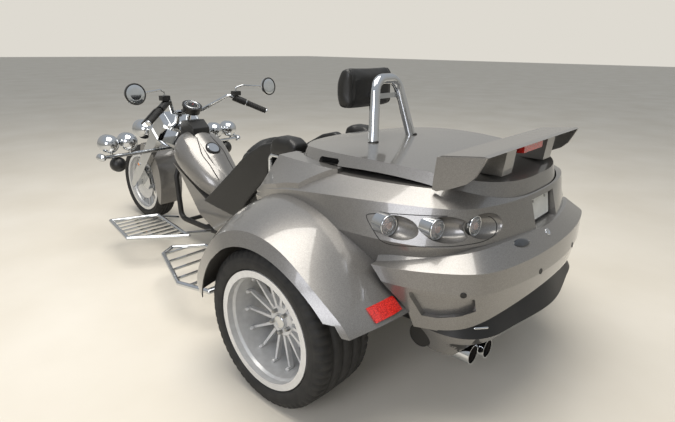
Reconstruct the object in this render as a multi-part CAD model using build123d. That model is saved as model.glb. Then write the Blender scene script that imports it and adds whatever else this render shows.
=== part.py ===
from build123d import *
from math import cos, sin, radians
import os

os.makedirs("parts", exist_ok=True)

# Motorized trike: one steered wheel in front, two driven wheels behind.
# Millimetres, +Z up, the front faces -Y. Everything is drawn from the middle of
# the rear axle line on the ground and moved to the middle of the length at the end.

# Layout
wheelbase = 2500
rear_overhang = 796
fit_gap = 0.3

# Rear wheels
rear_tyre_radius = 332
rear_tyre_width = 286
rear_tyre_middle = 736
rear_rim_lip_radius = 247
rear_rim_seat_radius = 229
rear_rim_wall = 9
rear_lip_thickness = 8
rear_spoke_count = 15
rear_spoke_width = 13
rear_spoke_depth = 20
rear_spoke_inset = 100
rear_hub_radius = 72
rear_disc_radius = 150
half_shaft_radius = 24

# Front wheel
front_tyre_radius = 307
front_tyre_width = 152
front_rim_lip_radius = 235
front_rim_seat_radius = 219
front_rim_wall = 7
front_lip_thickness = 6
front_spoke_count = 12
front_hub_radius = 34
front_hub_half = 62
front_axle_radius = 10
front_disc_radius = 140

# Steering
rake = 43.5
fork_offset = 100
fork_half_spacing = 118
fork_length = 800
fork_blade_thickness = 44
neck_radius = 30
lower_clamp_place = 600
upper_clamp_place = 770
clamp_thickness = 34
bar_radius = 13
mirror_radius = 62

# Lamps
lamp_bar_radius = 13
aux_lamp_radius = 64
headlight_radius = 76
horn_radius = 52
tail_lamp_radius = 38

# Frame
rail_radius = 19
rail_half_spacing = 100
rail_height = 158
rear_rail_half_spacing = 286
rear_rail_height = 280

# Rear body, trunk and lid
shell_wall = 5
deck_rim_height = 912
shoulder_drop = 44
waist_drop = 172
trunk_half = 395
trunk_front = -270
trunk_back = 500
trunk_floor = 632
panel_gap = 4
hinge_y = -352
hinge_pin_radius = 4
hinge_knuckle_radius = 8
hoop_radius = 24
muffler_radius = 47
tail_pipe_radius = 37.5
tail_pipe_wall = 3.5

# Fenders
fender_wall = 6
fender_outer = 905
wheel_opening = 352

# Seat
seat_half = 205
wing_thickness = 55

axle_y = (wheelbase + front_tyre_radius - rear_overhang) / 2
front_y = -wheelbase
nodes = {}


def polygon(points, direction, amount):
    return extrude(make_face(Polyline(*points, close=True)), amount, dir=direction)


def side_slab(outline, x_from, x_to):
    """A plate with an outline in the side view, between two planes across."""
    return polygon([(x_from, y, z) for y, z in outline], (1, 0, 0), x_to - x_from)


def front_slab(outline, x_from, x_to):
    """The same with an outline measured back from the front axle."""
    return side_slab([(front_y + y, z) for y, z in outline], x_from, x_to)


def plan_slab(outline, z_from, z_to):
    """A plate with an outline seen from above, between two heights."""
    return polygon([(x, y, z_from) for x, y in outline], (0, 0, 1), z_to - z_from)


def block(x_from, x_to, y_from, y_to, z_from, z_to):
    size = Box(x_to - x_from, y_to - y_from, z_to - z_from)
    return Pos((x_from + x_to) / 2, (y_from + y_to) / 2, (z_from + z_to) / 2) * size


def rod(start, end, radius):
    start, end = Vector(*start), Vector(*end)
    return Solid.make_cylinder(radius, (end - start).length, Plane(origin=start, z_dir=end - start))


def tube(points, radius, bend):
    path = FilletPolyline(*points, radius=bend)
    section = Plane(origin=path @ 0, z_dir=path % 0) * Circle(radius)
    return sweep(section, path=path)


def mirrored(shape):
    return mirror(shape, about=Plane.YZ)


def both(shape):
    return Compound(children=[shape, mirrored(shape)])


def turned(profile):
    """A wheel part from (across, radius) points, about the axle line."""
    face = make_face(Polyline(*[(a, 0, r) for a, r in profile], close=True))
    return revolve(face, axis=Axis.X)


def bullet(radius, length, rim):
    """A lamp bowl that looks forward: domed back at y = 0, straight rim in front."""
    face = make_face([
        ThreePointArc((0, 0, 0), (0, -length * 0.18, radius * 0.68), (0, rim - length, radius)),
        Line((0, rim - length, radius), (0, -length, radius)),
        Line((0, -length, radius), (0, -length, 0)),
        Line((0, -length, 0), (0, 0, 0)),
    ])
    return revolve(face, axis=Axis.Y)


def placed(shape, x, y, z):
    return Pos(x, y, z) * shape


# Wheels
def tyre(radius, width, seat, lip):
    shoulder = width / 2 - 6
    bead = width / 2 - 16
    top = lip + fit_gap
    tread = shoulder - 22
    face = make_face([
        Line((-bead, 0, seat), (bead, 0, seat)),
        Line((bead, 0, seat), (bead, 0, top)),
        ThreePointArc((bead, 0, top), (width / 2, 0, (top + radius) / 2), (shoulder, 0, radius - 22)),
        ThreePointArc((shoulder, 0, radius - 22), (shoulder - 8, 0, radius - 9), (tread, 0, radius - 4)),
        ThreePointArc((tread, 0, radius - 4), (0, 0, radius), (-tread, 0, radius - 4)),
        ThreePointArc((-tread, 0, radius - 4), (8 - shoulder, 0, radius - 9), (-shoulder, 0, radius - 22)),
        ThreePointArc((-shoulder, 0, radius - 22), (-width / 2, 0, (top + radius) / 2), (-bead, 0, top)),
        Line((-bead, 0, top), (-bead, 0, seat)),
    ])
    return revolve(face, axis=Axis.X)


def rim_barrel(width, seat, lip, wall, lip_thickness):
    edge = width / 2 - 16 + fit_gap
    low = seat - wall
    return turned([
        (-edge, seat), (-edge, lip), (-edge - lip_thickness, lip), (-edge - lip_thickness, low),
        (-edge + 40, low), (-edge + 52, low - 6), (edge - 30, low - 6), (edge - 18, low),
        (edge + lip_thickness, low), (edge + lip_thickness, lip), (edge, lip), (edge, seat),
    ])


def spokes(count, x_face, hub_radius, reach, width, depth):
    """Slender bars from the hub to the barrel, evenly round the axle."""
    foot = hub_radius - 8
    tip = width / 2 * 0.7
    one = polygon([(x_face, -width / 2, foot), (x_face, width / 2, foot), (x_face, tip, reach),
                   (x_face, -tip, reach)], (1, 0, 0), -depth)
    return [Rot(X=360 / count * i) * one for i in range(count)]


rear_edge = rear_tyre_width / 2 - 16 + fit_gap + rear_lip_thickness
rear_face = rear_edge - rear_spoke_inset
rear_barrel_inside = rear_rim_seat_radius - rear_rim_wall - 6
hub_depth = rear_face - 46
rear_tyre = tyre(rear_tyre_radius, rear_tyre_width, rear_rim_seat_radius + fit_gap, rear_rim_lip_radius)
rear_rim = rim_barrel(rear_tyre_width, rear_rim_seat_radius, rear_rim_lip_radius, rear_rim_wall,
                      rear_lip_thickness)
rear_hub = turned([(hub_depth, 0), (hub_depth, rear_hub_radius + 4), (rear_face - 20, rear_hub_radius),
                   (rear_face - 4, rear_hub_radius - 10), (rear_face - 4, 34), (rear_face + 4, 30),
                   (rear_face + 4, 0)])
rear_rim = rear_rim + rear_hub + spokes(rear_spoke_count, rear_face - 4, rear_hub_radius,
                                        rear_barrel_inside + 3, rear_spoke_width, rear_spoke_depth)
rear_rim = rear_rim + turned([(hub_depth - 62, 40), (hub_depth - 62, 78), (hub_depth - 52, 78),
                              (hub_depth - 52, rear_disc_radius), (hub_depth - 30, rear_disc_radius),
                              (hub_depth - 30, 70), (hub_depth, 70), (hub_depth, 40)])
for side, turn, place in (("left", 0, rear_tyre_middle), ("right", 180, -rear_tyre_middle)):
    for kind, shape in (("tyre", rear_tyre), ("rim", rear_rim)):
        nodes[f"rear_{side}_{kind}"] = placed(Rot(Z=turn) * shape, place, 0, rear_tyre_radius)

front_barrel_inside = front_rim_seat_radius - front_rim_wall - 6
front_disc_seat = 46
front_hub_neck = 24
front_tyre = tyre(front_tyre_radius, front_tyre_width, front_rim_seat_radius + fit_gap, front_rim_lip_radius)
nodes["front_tyre"] = placed(front_tyre, 0, front_y, front_tyre_radius)
front_rim = rim_barrel(front_tyre_width, front_rim_seat_radius, front_rim_lip_radius, front_rim_wall,
                       front_lip_thickness)
front_rim = front_rim + turned([
    (-front_hub_half, front_axle_radius + fit_gap), (-front_hub_half, front_hub_neck),
    (-front_disc_seat, front_hub_radius), (front_disc_seat, front_hub_radius),
    (front_disc_seat, front_hub_neck), (front_hub_half, front_hub_neck),
    (front_hub_half, front_axle_radius + fit_gap)])
for spoke_face in (22, -8):
    front_rim = front_rim + spokes(front_spoke_count, spoke_face, front_hub_radius,
                                   front_barrel_inside + 3, 16, 14)
front_disc_face = front_disc_seat + 5
front_disc = turned([(front_disc_seat, front_hub_neck), (front_disc_seat, front_disc_radius),
                     (front_disc_face, front_disc_radius), (front_disc_face, front_hub_neck)])
nodes["front_rim"] = placed(front_rim + front_disc, 0, front_y, front_tyre_radius)

# Steering head: a raked line behind the fork legs
up_y, up_z = sin(radians(rake)), cos(radians(rake))


def on_fork(x, along, ahead):
    """A point measured up the fork from the front axle and ahead of its legs."""
    return (x, front_y + along * up_y - ahead * up_z, front_tyre_radius + along * up_z + ahead * up_y)


def fork_plate(outline, along_from, along_to):
    """A plate square to the fork, from (across, ahead) points."""
    base = Polyline(*[on_fork(x, along_from, a) for x, a in outline], close=True)
    return extrude(make_face(base), along_to - along_from, dir=(0, up_y, up_z))


# Fork legs, flat blades with the axle and the brake caliper
blade_outline = [(0, -22), (-30, -16), (-34, 22), (70, 46), (fork_length, 52), (fork_length, -48), (150, -40)]
blade_inner = fork_half_spacing - fork_blade_thickness / 2
blade = polygon([on_fork(blade_inner, along, ahead) for along, ahead in blade_outline], (1, 0, 0),
                fork_blade_thickness)
fork_inside = blade_inner - fit_gap
axle_middle = (front_y, front_tyre_radius)
front_axle = rod((-fork_inside, *axle_middle), (fork_inside, *axle_middle), front_axle_radius)
for way in (-1, 1):
    front_axle = front_axle + rod((way * (front_hub_half + 1), *axle_middle),
                                  (way * (fork_inside + 2), *axle_middle), 19)
caliper_outline = [(56, -36), (178, -36), (178, -88), (148, -128), (86, -128), (56, -88)]
caliper = polygon([on_fork(front_disc_seat - 14, a, h) for a, h in caliper_outline], (1, 0, 0),
                  blade_inner + 1 - front_disc_seat + 14)
disc_slot = placed(turned([(front_disc_seat - 1.5, 0), (front_disc_seat - 1.5, front_disc_radius + 3),
                           (front_disc_face + 1.5, front_disc_radius + 3), (front_disc_face + 1.5, 0)]),
                   0, *axle_middle)
nodes["fork_legs"] = blade + mirrored(blade) + front_axle + (caliper - disc_slot)

# Triple clamps, joined by the steering stem
clamp_half = fork_half_spacing + 30
blade_room = fork_blade_thickness / 2 + fit_gap
clamps = []
for place in (lower_clamp_place, upper_clamp_place):
    plate = fork_plate([(-clamp_half, 58), (clamp_half, 58), (clamp_half, -54), (28, -fork_offset - 28),
                        (-28, -fork_offset - 28), (-clamp_half, -54)], place, place + clamp_thickness)
    for x in (-fork_half_spacing, fork_half_spacing):
        plate = plate - fork_plate([(x - blade_room, 52), (x + blade_room, 52), (x + blade_room, -49),
                                    (x - blade_room, -49)], place - 1, place + clamp_thickness + 1)
    clamps.append(plate)
stem_top = upper_clamp_place + clamp_thickness
stem = rod(on_fork(0, lower_clamp_place, -fork_offset), on_fork(0, stem_top, -fork_offset), 14)
nodes["triple_clamps"] = clamps[0] + clamps[1] + stem

# Front fender, a shield behind and above the tyre
fender_half = front_tyre_width / 2 + 16
shield = make_face([
    ThreePointArc((-fender_half, 314, 184), (-fender_half, 346, 300), (-fender_half, 350, 420)),
    ThreePointArc((-fender_half, 350, 420), (-fender_half, 285, 570), (-fender_half, 100, 648)),
    Line((-fender_half, 100, 648), (-fender_half, 80, 590)),
    Line((-fender_half, 80, 590), (-fender_half, 225, 470)),
    Line((-fender_half, 225, 470), (-fender_half, 290, 196)),
    Line((-fender_half, 290, 196), (-fender_half, 314, 184)),
])
shield = placed(extrude(shield, 2 * fender_half, dir=(1, 0, 0)), 0, front_y, 0)
wheel_room = placed(Rot(Y=90) * Cylinder(front_tyre_radius + 12, 2 * (fender_half - 5)), 0, *axle_middle)
front_fender = shield - wheel_room
fender_stay = on_fork(0, 330, 0)
for way in (-1, 1):
    front_fender = front_fender + rod((way * (fender_half - 3), fender_stay[1], fender_stay[2]),
                                      (way * fork_inside, fender_stay[1], fender_stay[2]), 12)
nodes["front_fender"] = front_fender

# Handlebar on two risers
bar_clamp = Vector(60, front_y + 620, 925)
bar_low = Vector(118, front_y + 674, 944)
bar_bend = Vector(234, front_y + 845, 1051)
bar_end = Vector(459, front_y + 980, 936)
half_bar = [bar_clamp, bar_low, bar_bend, bar_end]
handle_points = [(-p.X, p.Y, p.Z) for p in reversed(half_bar)] + [(p.X, p.Y, p.Z) for p in half_bar]
handlebar = tube(handle_points, bar_radius, 24)
riser_foot = on_fork(0, stem_top + fit_gap, -fork_offset / 2)
above_clamp = fork_plate([(-200, 100), (200, 100), (200, -200), (-200, -200)], upper_clamp_place,
                         stem_top + fit_gap)
for x in (-46, 46):
    post = rod((x, riser_foot[1], riser_foot[2]), (x, bar_clamp.Y, bar_clamp.Z), 16) - above_clamp
    handlebar = handlebar + post + placed(Rot(Y=90) * Cylinder(25, 34), x, bar_clamp.Y, bar_clamp.Z)
nodes["handlebar"] = handlebar


def on_bar(way, along, out=0, ahead=0, up=0):
    """A point on a straight end of the handlebar, from the bend at 0 to the tip at 1."""
    p = bar_bend + (bar_end - bar_bend) * along
    return (way * (p.X + out), p.Y - ahead, p.Z + up)


# Grips, switch housings, levers and mirrors
grips = []
controls = []
mirrors = []
for way in (-1, 1):
    grip = rod(on_bar(way, 0.48), on_bar(way, 1.03), 18)
    grips.append(grip - rod(on_bar(way, 0.4), on_bar(way, 1.0), bar_radius + fit_gap))
    housing = rod(on_bar(way, 0.12), on_bar(way, 0.45), 24)
    tank_low = on_bar(way, 0.2, up=22)
    reservoir = placed(Box(54, 46, 30), tank_low[0], tank_low[1], tank_low[2] + 15)
    lever = tube([on_bar(way, 0.2, out=6, ahead=22, up=-4), on_bar(way, 0.4, out=30, ahead=36, up=-10),
                  on_bar(way, 0.95, out=34, ahead=34, up=-12)], 6, 20)
    room = rod(on_bar(way, 0.02), on_bar(way, 0.5), bar_radius + fit_gap)
    controls.append(housing + reservoir + lever - room)
    foot = Vector(tank_low[0], tank_low[1], tank_low[2] + 30 + fit_gap)
    middle = Vector(way * 513, front_y + 967, 1109)
    head = Plane(origin=middle, z_dir=(way * 0.05, 0.98, 0.12))
    glass_radius = mirror_radius - 6
    shell = head * (Pos(0, 0, -12) * Cylinder(mirror_radius, 18) - Pos(0, 0, -3) * Cylinder(glass_radius, 6))
    arm = tube([foot, foot + Vector(0, 0, 24), foot + Vector(way * 40, 30, 40),
                middle + Vector(way * -12, -18, -4)], 6, 14)
    mirrors.append(shell + arm)
    mirrors.append(head * (Pos(0, 0, -4.5) * Cylinder(glass_radius - fit_gap, 2.4)))
nodes["mirrors"] = Compound(children=mirrors)
nodes["hand_controls"] = Compound(children=controls + grips)

# Round gauge on a bracket of the handlebar clamp
gauge_plane = Plane(origin=(0, front_y + 728, 968), z_dir=(0, 0.42, 0.91))
gauge = gauge_plane * (Cylinder(60, 50) + Pos(0, 0, 18) * Cylinder(68, 14))
bracket = front_slab([(612, 925), (690, 942), (700, 960), (612, 950)], -16, 16)
nodes["gauge_pod"] = gauge + bracket - rod((-90, bar_clamp.Y, bar_clamp.Z), (90, bar_clamp.Y, bar_clamp.Z),
                                           bar_radius + fit_gap)

# Lamp bar behind the fork legs with the turn signals, aux lamps and horns
lamp_bar_place = Vector(*on_fork(0, lower_clamp_place - lamp_bar_radius - fit_gap, -fork_offset - 8))
lamp_bar_half = 560
lamp_y, lamp_z = lamp_bar_place.Y, lamp_bar_place.Z
lamp_bar = rod((-lamp_bar_half, lamp_y, lamp_z), (lamp_bar_half, lamp_y, lamp_z), lamp_bar_radius)
signal = bullet(26, 66, 24)
aux_lamp = bullet(aux_lamp_radius, 104, 24)
horn = bullet(horn_radius, 70, 26)
aux_height = lamp_z + 82
horn_height = lamp_z - lamp_bar_radius - fit_gap - horn_radius
aux = []
horns = []
for way in (-1, 1):
    for x in (360, 492):
        aux.append(placed(aux_lamp, way * x, lamp_y + 44, aux_height))
        lamp_bar = lamp_bar + (rod((way * x, lamp_y, lamp_z), (way * x, lamp_y, aux_height), 9)
                               - placed(bullet(aux_lamp_radius + fit_gap, 104.6, 24), way * x, lamp_y + 44.3,
                                        aux_height))
    lug = rod((way * 448, lamp_y, horn_height), (way * 448, lamp_y, lamp_z), 8) - rod(
        (way * 400, lamp_y, lamp_z), (way * 500, lamp_y, lamp_z), lamp_bar_radius + fit_gap)
    horns.append(placed(horn, way * 448, lamp_y + 32, horn_height) + lug)
    lamp_bar = lamp_bar + placed(signal, way * lamp_bar_half, lamp_y + 34, lamp_z)
lamp_bar = lamp_bar - fork_plate([(-60, -200), (60, -200), (60, 200), (-60, 200)],
                                 lower_clamp_place - fit_gap, lower_clamp_place + 200)
nodes["lamp_bar"] = lamp_bar
nodes["horn_lamps"] = Compound(children=horns)
headlight = placed(bullet(headlight_radius, 150, 30), 0, front_y + 100, 738)
headlight = headlight + front_slab([(70, 700), (120, 690), (390, 756), (390, 790), (90, 735)], -12, 12)
headlight = headlight - fork_plate([(-60, -200), (60, -200), (60, 58 + fit_gap), (-60, 58 + fit_gap)],
                                   lower_clamp_place - 60, lower_clamp_place + 80)
nodes["front_lamps"] = Compound(children=aux + [headlight])

# Frame: neck, backbone, down tubes, floor rails and rear rails
neck_low = on_fork(0, lower_clamp_place + clamp_thickness + 2, -fork_offset)
neck_high = on_fork(0, upper_clamp_place - 2, -fork_offset)
neck_middle = on_fork(0, (lower_clamp_place + upper_clamp_place + 30) / 2, -fork_offset)
main = rod(neck_low, neck_high, neck_radius)
main = main + tube([neck_middle, (0, front_y + 574, 640), (0, front_y + 618, 545), (0, front_y + 1060, 322),
                    (0, -960, 300)], 24, 40)
for way in (-1, 1):
    rail = way * rail_half_spacing
    wide = way * rear_rail_half_spacing
    main = main + tube([(way * 30, front_y + 588, 600), (rail, front_y + 610, 470),
                        (rail, front_y + 638, rail_height), (rail, -760, rail_height),
                        (wide, -470, rear_rail_height), (wide, 520, rear_rail_height)], rail_radius, 60)
    main = main + rod((wide, -424, rear_rail_height), (wide, -424, 560), rail_radius)
main = main + rod((-44, front_y + 588, 598), (44, front_y + 588, 598), 18)
for y in (front_y + 720, front_y + 940, -1160, -960, -800):
    main = main + rod((-rail_half_spacing, y, rail_height), (rail_half_spacing, y, rail_height), 15)
main = main + rod((0, -960, 300), (0, -960, rail_height), 16)
for z in (rear_rail_height, 550):
    main = main + rod((-rear_rail_half_spacing, -424, z), (rear_rail_half_spacing, -424, z), rail_radius)
main = main - rod(on_fork(0, 500, -fork_offset), on_fork(0, 900, -fork_offset), 15)
nodes["main_frame"] = main

# Belly panel round the backbone
belly_line = [(front_y + 720, 520), (front_y + 935, 262), (front_y + 1105, 186), (-1200, 196), (-945, 250)]
belly_top = [(-940, 399.4), (-1300, 439.4), (front_y + 1064, 368), (front_y + 632, 586)]
belly_room = [(front_y + 600, 581), (front_y + 730, 500), (front_y + 940, 270), (front_y + 1110, 190.5),
              (-1200, 200.5), (-900, 244), (-900, 390), (-1300, 431), (front_y + 1068, 361),
              (front_y + 640, 571)]
belly = side_slab(belly_line + belly_top, -130, 130)
belly = fillet(belly.edges().filter_by(Axis.X).sort_by(Axis.Z)[:3], 30)
nodes["belly_panel"] = belly - side_slab(belly_room, -126, 126) - main


# Tank: rounded sections along the slope, with a raised centre spine
def slope_section(low_y, low_z, high_y, high_z, low_half, mid_half, high_half, crown):
    """A closed rounded outline across the machine between a low and a high side-view point."""
    def at(x, share, out=0.0):
        rise_y, rise_z = high_y - low_y, high_z - low_z
        size = (rise_y ** 2 + rise_z ** 2) ** 0.5
        return (x, front_y + low_y + rise_y * (share + out / size), low_z + rise_z * (share + out / size))
    return make_face(make_edges([
        Line(at(-low_half, 0), at(low_half, 0)),
        ThreePointArc(at(low_half, 0), at(mid_half, 0.45), at(high_half, 0.9)),
        ThreePointArc(at(high_half, 0.9), at(0, 1, crown), at(-high_half, 0.9)),
        ThreePointArc(at(-high_half, 0.9), at(-mid_half, 0.45), at(-low_half, 0)),
    ]))


def make_edges(lines):
    return [edge for line in lines for edge in line.edges()]


# columns: low y, low z, high y, high z, low half width, middle half width, high half width, crown
tank_rows = [
    (636, 590, 690, 790, 70, 118, 66, 4),
    (730, 546, 800, 806, 88, 182, 128, 6),
    (880, 466, 980, 666, 82, 174, 122, 8),
    (1000, 404, 1100, 552, 68, 140, 96, 6),
    (1072, 370, 1150, 480, 50, 92, 60, 4),
]
spine_rows = [
    (700, 770, 716, 806, 40, 48, 44, 2),
    (760, 780, 806, 824, 52, 60, 56, 3),
    (960, 590, 1000, 676, 52, 62, 58, 4),
    (1090, 450, 1146, 506, 30, 36, 32, 2),
]
tank = loft([slope_section(*row) for row in tank_rows])
tank = tank + loft([slope_section(*row) for row in spine_rows], ruled=True)
tank = tank - side_slab(belly_line + [(y, z + fit_gap) for y, z in belly_top], -140, 140) - main
cap_plane = Plane(origin=(0, front_y + 942, 698), z_dir=(0, 0.686, 0.727))
nodes["fuel_cap"] = cap_plane * (Pos(0, 0, 10) * Cylinder(44, 30) + Pos(0, 0, 28) * Cylinder(38, 8)) - tank
nodes["tank_body"] = tank
console = front_slab([(668, 700), (664, 850), (690, 884), (770, 890), (830, 840), (834, 700)], -64, 64)
console = fillet(console.edges().filter_by(Axis.X).sort_by(Axis.Z)[2:], 14)
nodes["console"] = console - tank - main

# Seat: a shell with raised sides, soft pads on its floor
seat_back_end = -415.6
seat_floor_top = [(-1300, 470), (-1000, 452), (-700, 700), (seat_back_end, 758)]
seat_floor = side_slab([(-1318, 441)] + seat_floor_top + [(seat_back_end, 700), (-680, 640), (-945, 400),
                                                         (-1300, 440)], -seat_half - 5, seat_half + 5)
wing_outline = [(-1312, 443), (-1180, 545), (-990, 700), (-850, 815), (-710, 890), (-612, 916), (-574, 896),
                (-640, 830), (-668, 721), (-868, 528), (-942, 404), (-1296, 441)]
wings = side_slab(wing_outline, seat_half, seat_half + wing_thickness)
nodes["seat_shell"] = seat_floor + wings + mirrored(wings)
for x in (-150, 150):
    post = rod((x, -436, 550), (x, -436, 716), 13) - placed(seat_floor, 0, 0, -fit_gap)
    nodes["main_frame"] = nodes["main_frame"] + post
pad_half = seat_half - fit_gap
rider_cushion = side_slab([(-1285, 472), (-1250, 525), (-1030, 515), (-1004, 455)], -pad_half, pad_half)
nodes["rider_cushion"] = rider_cushion
backrest = side_slab([(-985, 468), (-1012, 520), (-978, 800), (-942, 872), (-905, 886), (-868, 850),
                      (-852, 700), (-880, 555)], -pad_half, pad_half)
back_arch = make_face([
    Line((-pad_half, -1100, 420), (-pad_half, -1100, 760)),
    ThreePointArc((-pad_half, -1100, 760), (0, -1100, 886), (pad_half, -1100, 760)),
    Line((pad_half, -1100, 760), (pad_half, -1100, 420)),
    Line((pad_half, -1100, 420), (-pad_half, -1100, 420)),
])
nodes["rider_backrest"] = backrest & extrude(back_arch, 300, dir=(0, 1, 0))
nodes["passenger_cushion"] = side_slab([(-800, 626), (-820, 800), (-780, 832), (-480, 860), (-474, 750),
                                        (-701, 702.5)], -pad_half, pad_half)

# Armrests beside the passenger, pads on chrome rails
arm_x = 284
arm_under = 868
pad_outline = [(-564, 890), (-546, 946), (-508, 966), (-410, 964), (-368, 938), (-368, 892), (-390, arm_under),
               (-550, arm_under)]
pads = []
rails = []
for way in (-1, 1):
    pad = side_slab(pad_outline, way * arm_x - 50, way * arm_x + 50)
    pads.append(fillet(pad.edges().filter_by(Plane.YZ).filter_by(lambda e: e.center().Z > arm_under + 40), 16))
    rails.append(tube([(way * (seat_half + 86), seat_back_end + 40, 725),
                       (way * (seat_half + 86), -600, 740), (way * (seat_half + 86), -600, arm_under - 11.3),
                       (way * (seat_half + 86), -420, arm_under - 11.3)], 11, 30))
nodes["armrest_pads"] = Compound(children=pads)


# Rear body shell
level = (0, 0, 0)


def plan_wire(z, front, front_half, side, side_half, corner, corner_half, tail_half, tail, rear, bow, fall):
    """A closed line seen from above: bowed front, then one smooth line round the rear.

    fall is the place ahead of which the line drops, how much with the way and with its square.
    """
    fall_from, slope, curve = fall
    mid_x = corner_half - (corner_half - tail_half) * 0.32
    mid_y = corner + (tail - corner) * 0.62
    left = [(front_half, front), (side_half, side), (corner_half, corner), (mid_x, mid_y), (tail_half, tail)]
    ways = [max(0, fall_from - y) for x, y in left]
    left = [(x, y, z - slope * way - curve * way ** 2) for (x, y), way in zip(left, ways)]
    right = [(-x, y, height) for x, y, height in reversed(left)]
    bow_line = ThreePointArc(right[-1], (0, front - bow, left[0][2]), left[0])
    return Wire(make_edges([bow_line, Spline(*left, (0, rear, z), *right)]))


def plan_loft(rows, inset, bow=20, falls=(level, level, level, level)):
    sections = []
    for row, fall in zip(rows, falls):
        z, front, front_half, side, side_half, corner, corner_half, tail_half, tail, rear = row
        sections.append(plan_wire(z, front + inset, front_half - inset, side, side_half - inset,
                                  corner - inset * 0.5, corner_half - inset, tail_half - inset * 0.6,
                                  tail - inset, rear - inset, bow, fall))
    return Solid.make_loft(sections, ruled=True)


def body_loft(rows, inset):
    return plan_loft(rows, inset, falls=(level, level, shoulder_fall, level))


shoulder_fall = (340, 0, 0.0002)
shoulder_height = deck_rim_height - shoulder_drop
waist_height = deck_rim_height - waist_drop
# columns: height, front y, front half width, side y, side half width,
#          corner y, corner half width, tail half width, tail y, rear y
body_rows = [
    (600, -395, 520, 0, 560, 430, 555, 320, 648, 690),
    (waist_height, -392, 560, 0, 622, 460, 580, 330, 676, 730),
    (shoulder_height, -365, 556, 0, 618, 455, 536, 312, 656, 690),
    (deck_rim_height, -305, 490, 0, 515, 425, 450, 290, 592, 636),
]
body_solid = body_loft(body_rows, 0)
room_rows = [(body_rows[0][0] - 1,) + body_rows[0][1:]] + body_rows[1:3]
room_rows = room_rows + [(deck_rim_height - shell_wall,) + body_rows[3][1:]]
body_room = body_loft(room_rows, shell_wall)
body = body_solid - body_room
wedge_plan = [(380, -420), (575, -420), (606, -60), (512, 66), (380, 40)]
wedge = (placed(body_solid, 0, 8, 24) & plan_slab(wedge_plan, waist_height - 60, deck_rim_height + 18)) - body_solid
body = body + wedge + mirrored(wedge)
body = body - block(-trunk_half, trunk_half, trunk_front, trunk_back, deck_rim_height - 40, deck_rim_height + 60)
well_radius = wheel_opening + 40
wheel_well = placed(Rot(Y=90) * Cylinder(well_radius, 400), 760, 0, rear_tyre_radius)
body = body - wheel_well - mirrored(wheel_well)

tub = block(-trunk_half - 4, trunk_half + 4, trunk_front - 4, trunk_back + 4, trunk_floor,
            deck_rim_height - shell_wall - 0.5)
nodes["trunk_tub"] = tub - block(-trunk_half, trunk_half, trunk_front, trunk_back, trunk_floor + 4,
                                 deck_rim_height + 40)
for x in (-rear_rail_half_spacing, rear_rail_half_spacing):
    for y in (-120, 408):
        nodes["main_frame"] = nodes["main_frame"] + rod((x, y, rear_rail_height),
                                                        (x, y, trunk_floor - fit_gap), 12)

# Trunk lid: plan outline drawn in towards the top, under a crowned side profile
lid_low = deck_rim_height - 62
lid_high = deck_rim_height + 98
lid_rows = [
    (lid_low, -240, 440, -20, 514, 420, 464, 266, 652, 686),
    (lid_high, -215, 372, -20, 436, 380, 394, 218, 624, 650),
]
lid_front_bow = 165


def lid_solid(inset, drop=0):
    deck = deck_rim_height
    under = inset - drop
    crown = make_face(make_edges([
        ThreePointArc((-600, -440, deck + 32 - inset), (-600, 100, deck + 66 - inset),
                      (-600, 720, deck + 8 - inset)),
        Line((-600, 720, deck + 8 - inset), (-600, 720, deck - 56 + under)),
        ThreePointArc((-600, 720, deck - 56 + under), (-600, 440, deck + 6 + under),
                      (-600, -100, deck + 4 + under)),
        Line((-600, -100, deck + 4 + under), (-600, -440, deck + 13 + under)),
        Line((-600, -440, deck + 13 + under), (-600, -440, deck + 32 - inset)),
    ]))
    return plan_loft(lid_rows, inset, lid_front_bow) & extrude(crown, 1200, dir=(1, 0, 0))


lid_outside = lid_solid(0)
lid = lid_outside - lid_solid(shell_wall, 2 * shell_wall + 20)
vent_outline = [(-84, deck_rim_height + 12), (-84, deck_rim_height + 32), (-74, deck_rim_height + 40),
                (26, deck_rim_height + 46), (36, deck_rim_height + 38), (36, deck_rim_height + 16)]
for way in (-1, 1):
    vent = side_slab(vent_outline, way * 475 - 55, way * 475 + 55)
    cup = lid_outside & side_slab([(y * 1.06, z + (z - deck_rim_height - 30) * 0.2) for y, z in vent_outline],
                                  way * 470 - 40, way * 470 + 40)
    lid = lid + (cup - placed(vent, way * 16, 0, 0)) - placed(vent, way * 16, 0, 0)
body = body - lid_solid(-panel_gap)

# Lid hinge: two body knuckles with their pins, each between two lid knuckles
hinge_z = deck_rim_height - 7
for x in (-200, 200):
    knuckle = rod((x - 14, hinge_y, hinge_z), (x + 14, hinge_y, hinge_z), hinge_knuckle_radius)
    pin = rod((x - 30, hinge_y, hinge_z), (x + 30, hinge_y, hinge_z), hinge_pin_radius)
    body = body + knuckle + pin + block(x - 14, x + 14, hinge_y, hinge_y + 24, hinge_z - 8, hinge_z - 2)
    for low, high in ((x - 30, x - 14 - fit_gap), (x + 14 + fit_gap, x + 30)):
        leaf = rod((low, hinge_y, hinge_z), (high, hinge_y, hinge_z), hinge_knuckle_radius)
        leaf = leaf + block(low, high, hinge_y - 3, hinge_y + 3, hinge_z, hinge_z + 17)
        lid = lid + (leaf - rod((low - 1, hinge_y, hinge_z), (high + 1, hinge_y, hinge_z),
                                hinge_pin_radius + 0.05))
nodes["trunk_lid"] = lid

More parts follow.
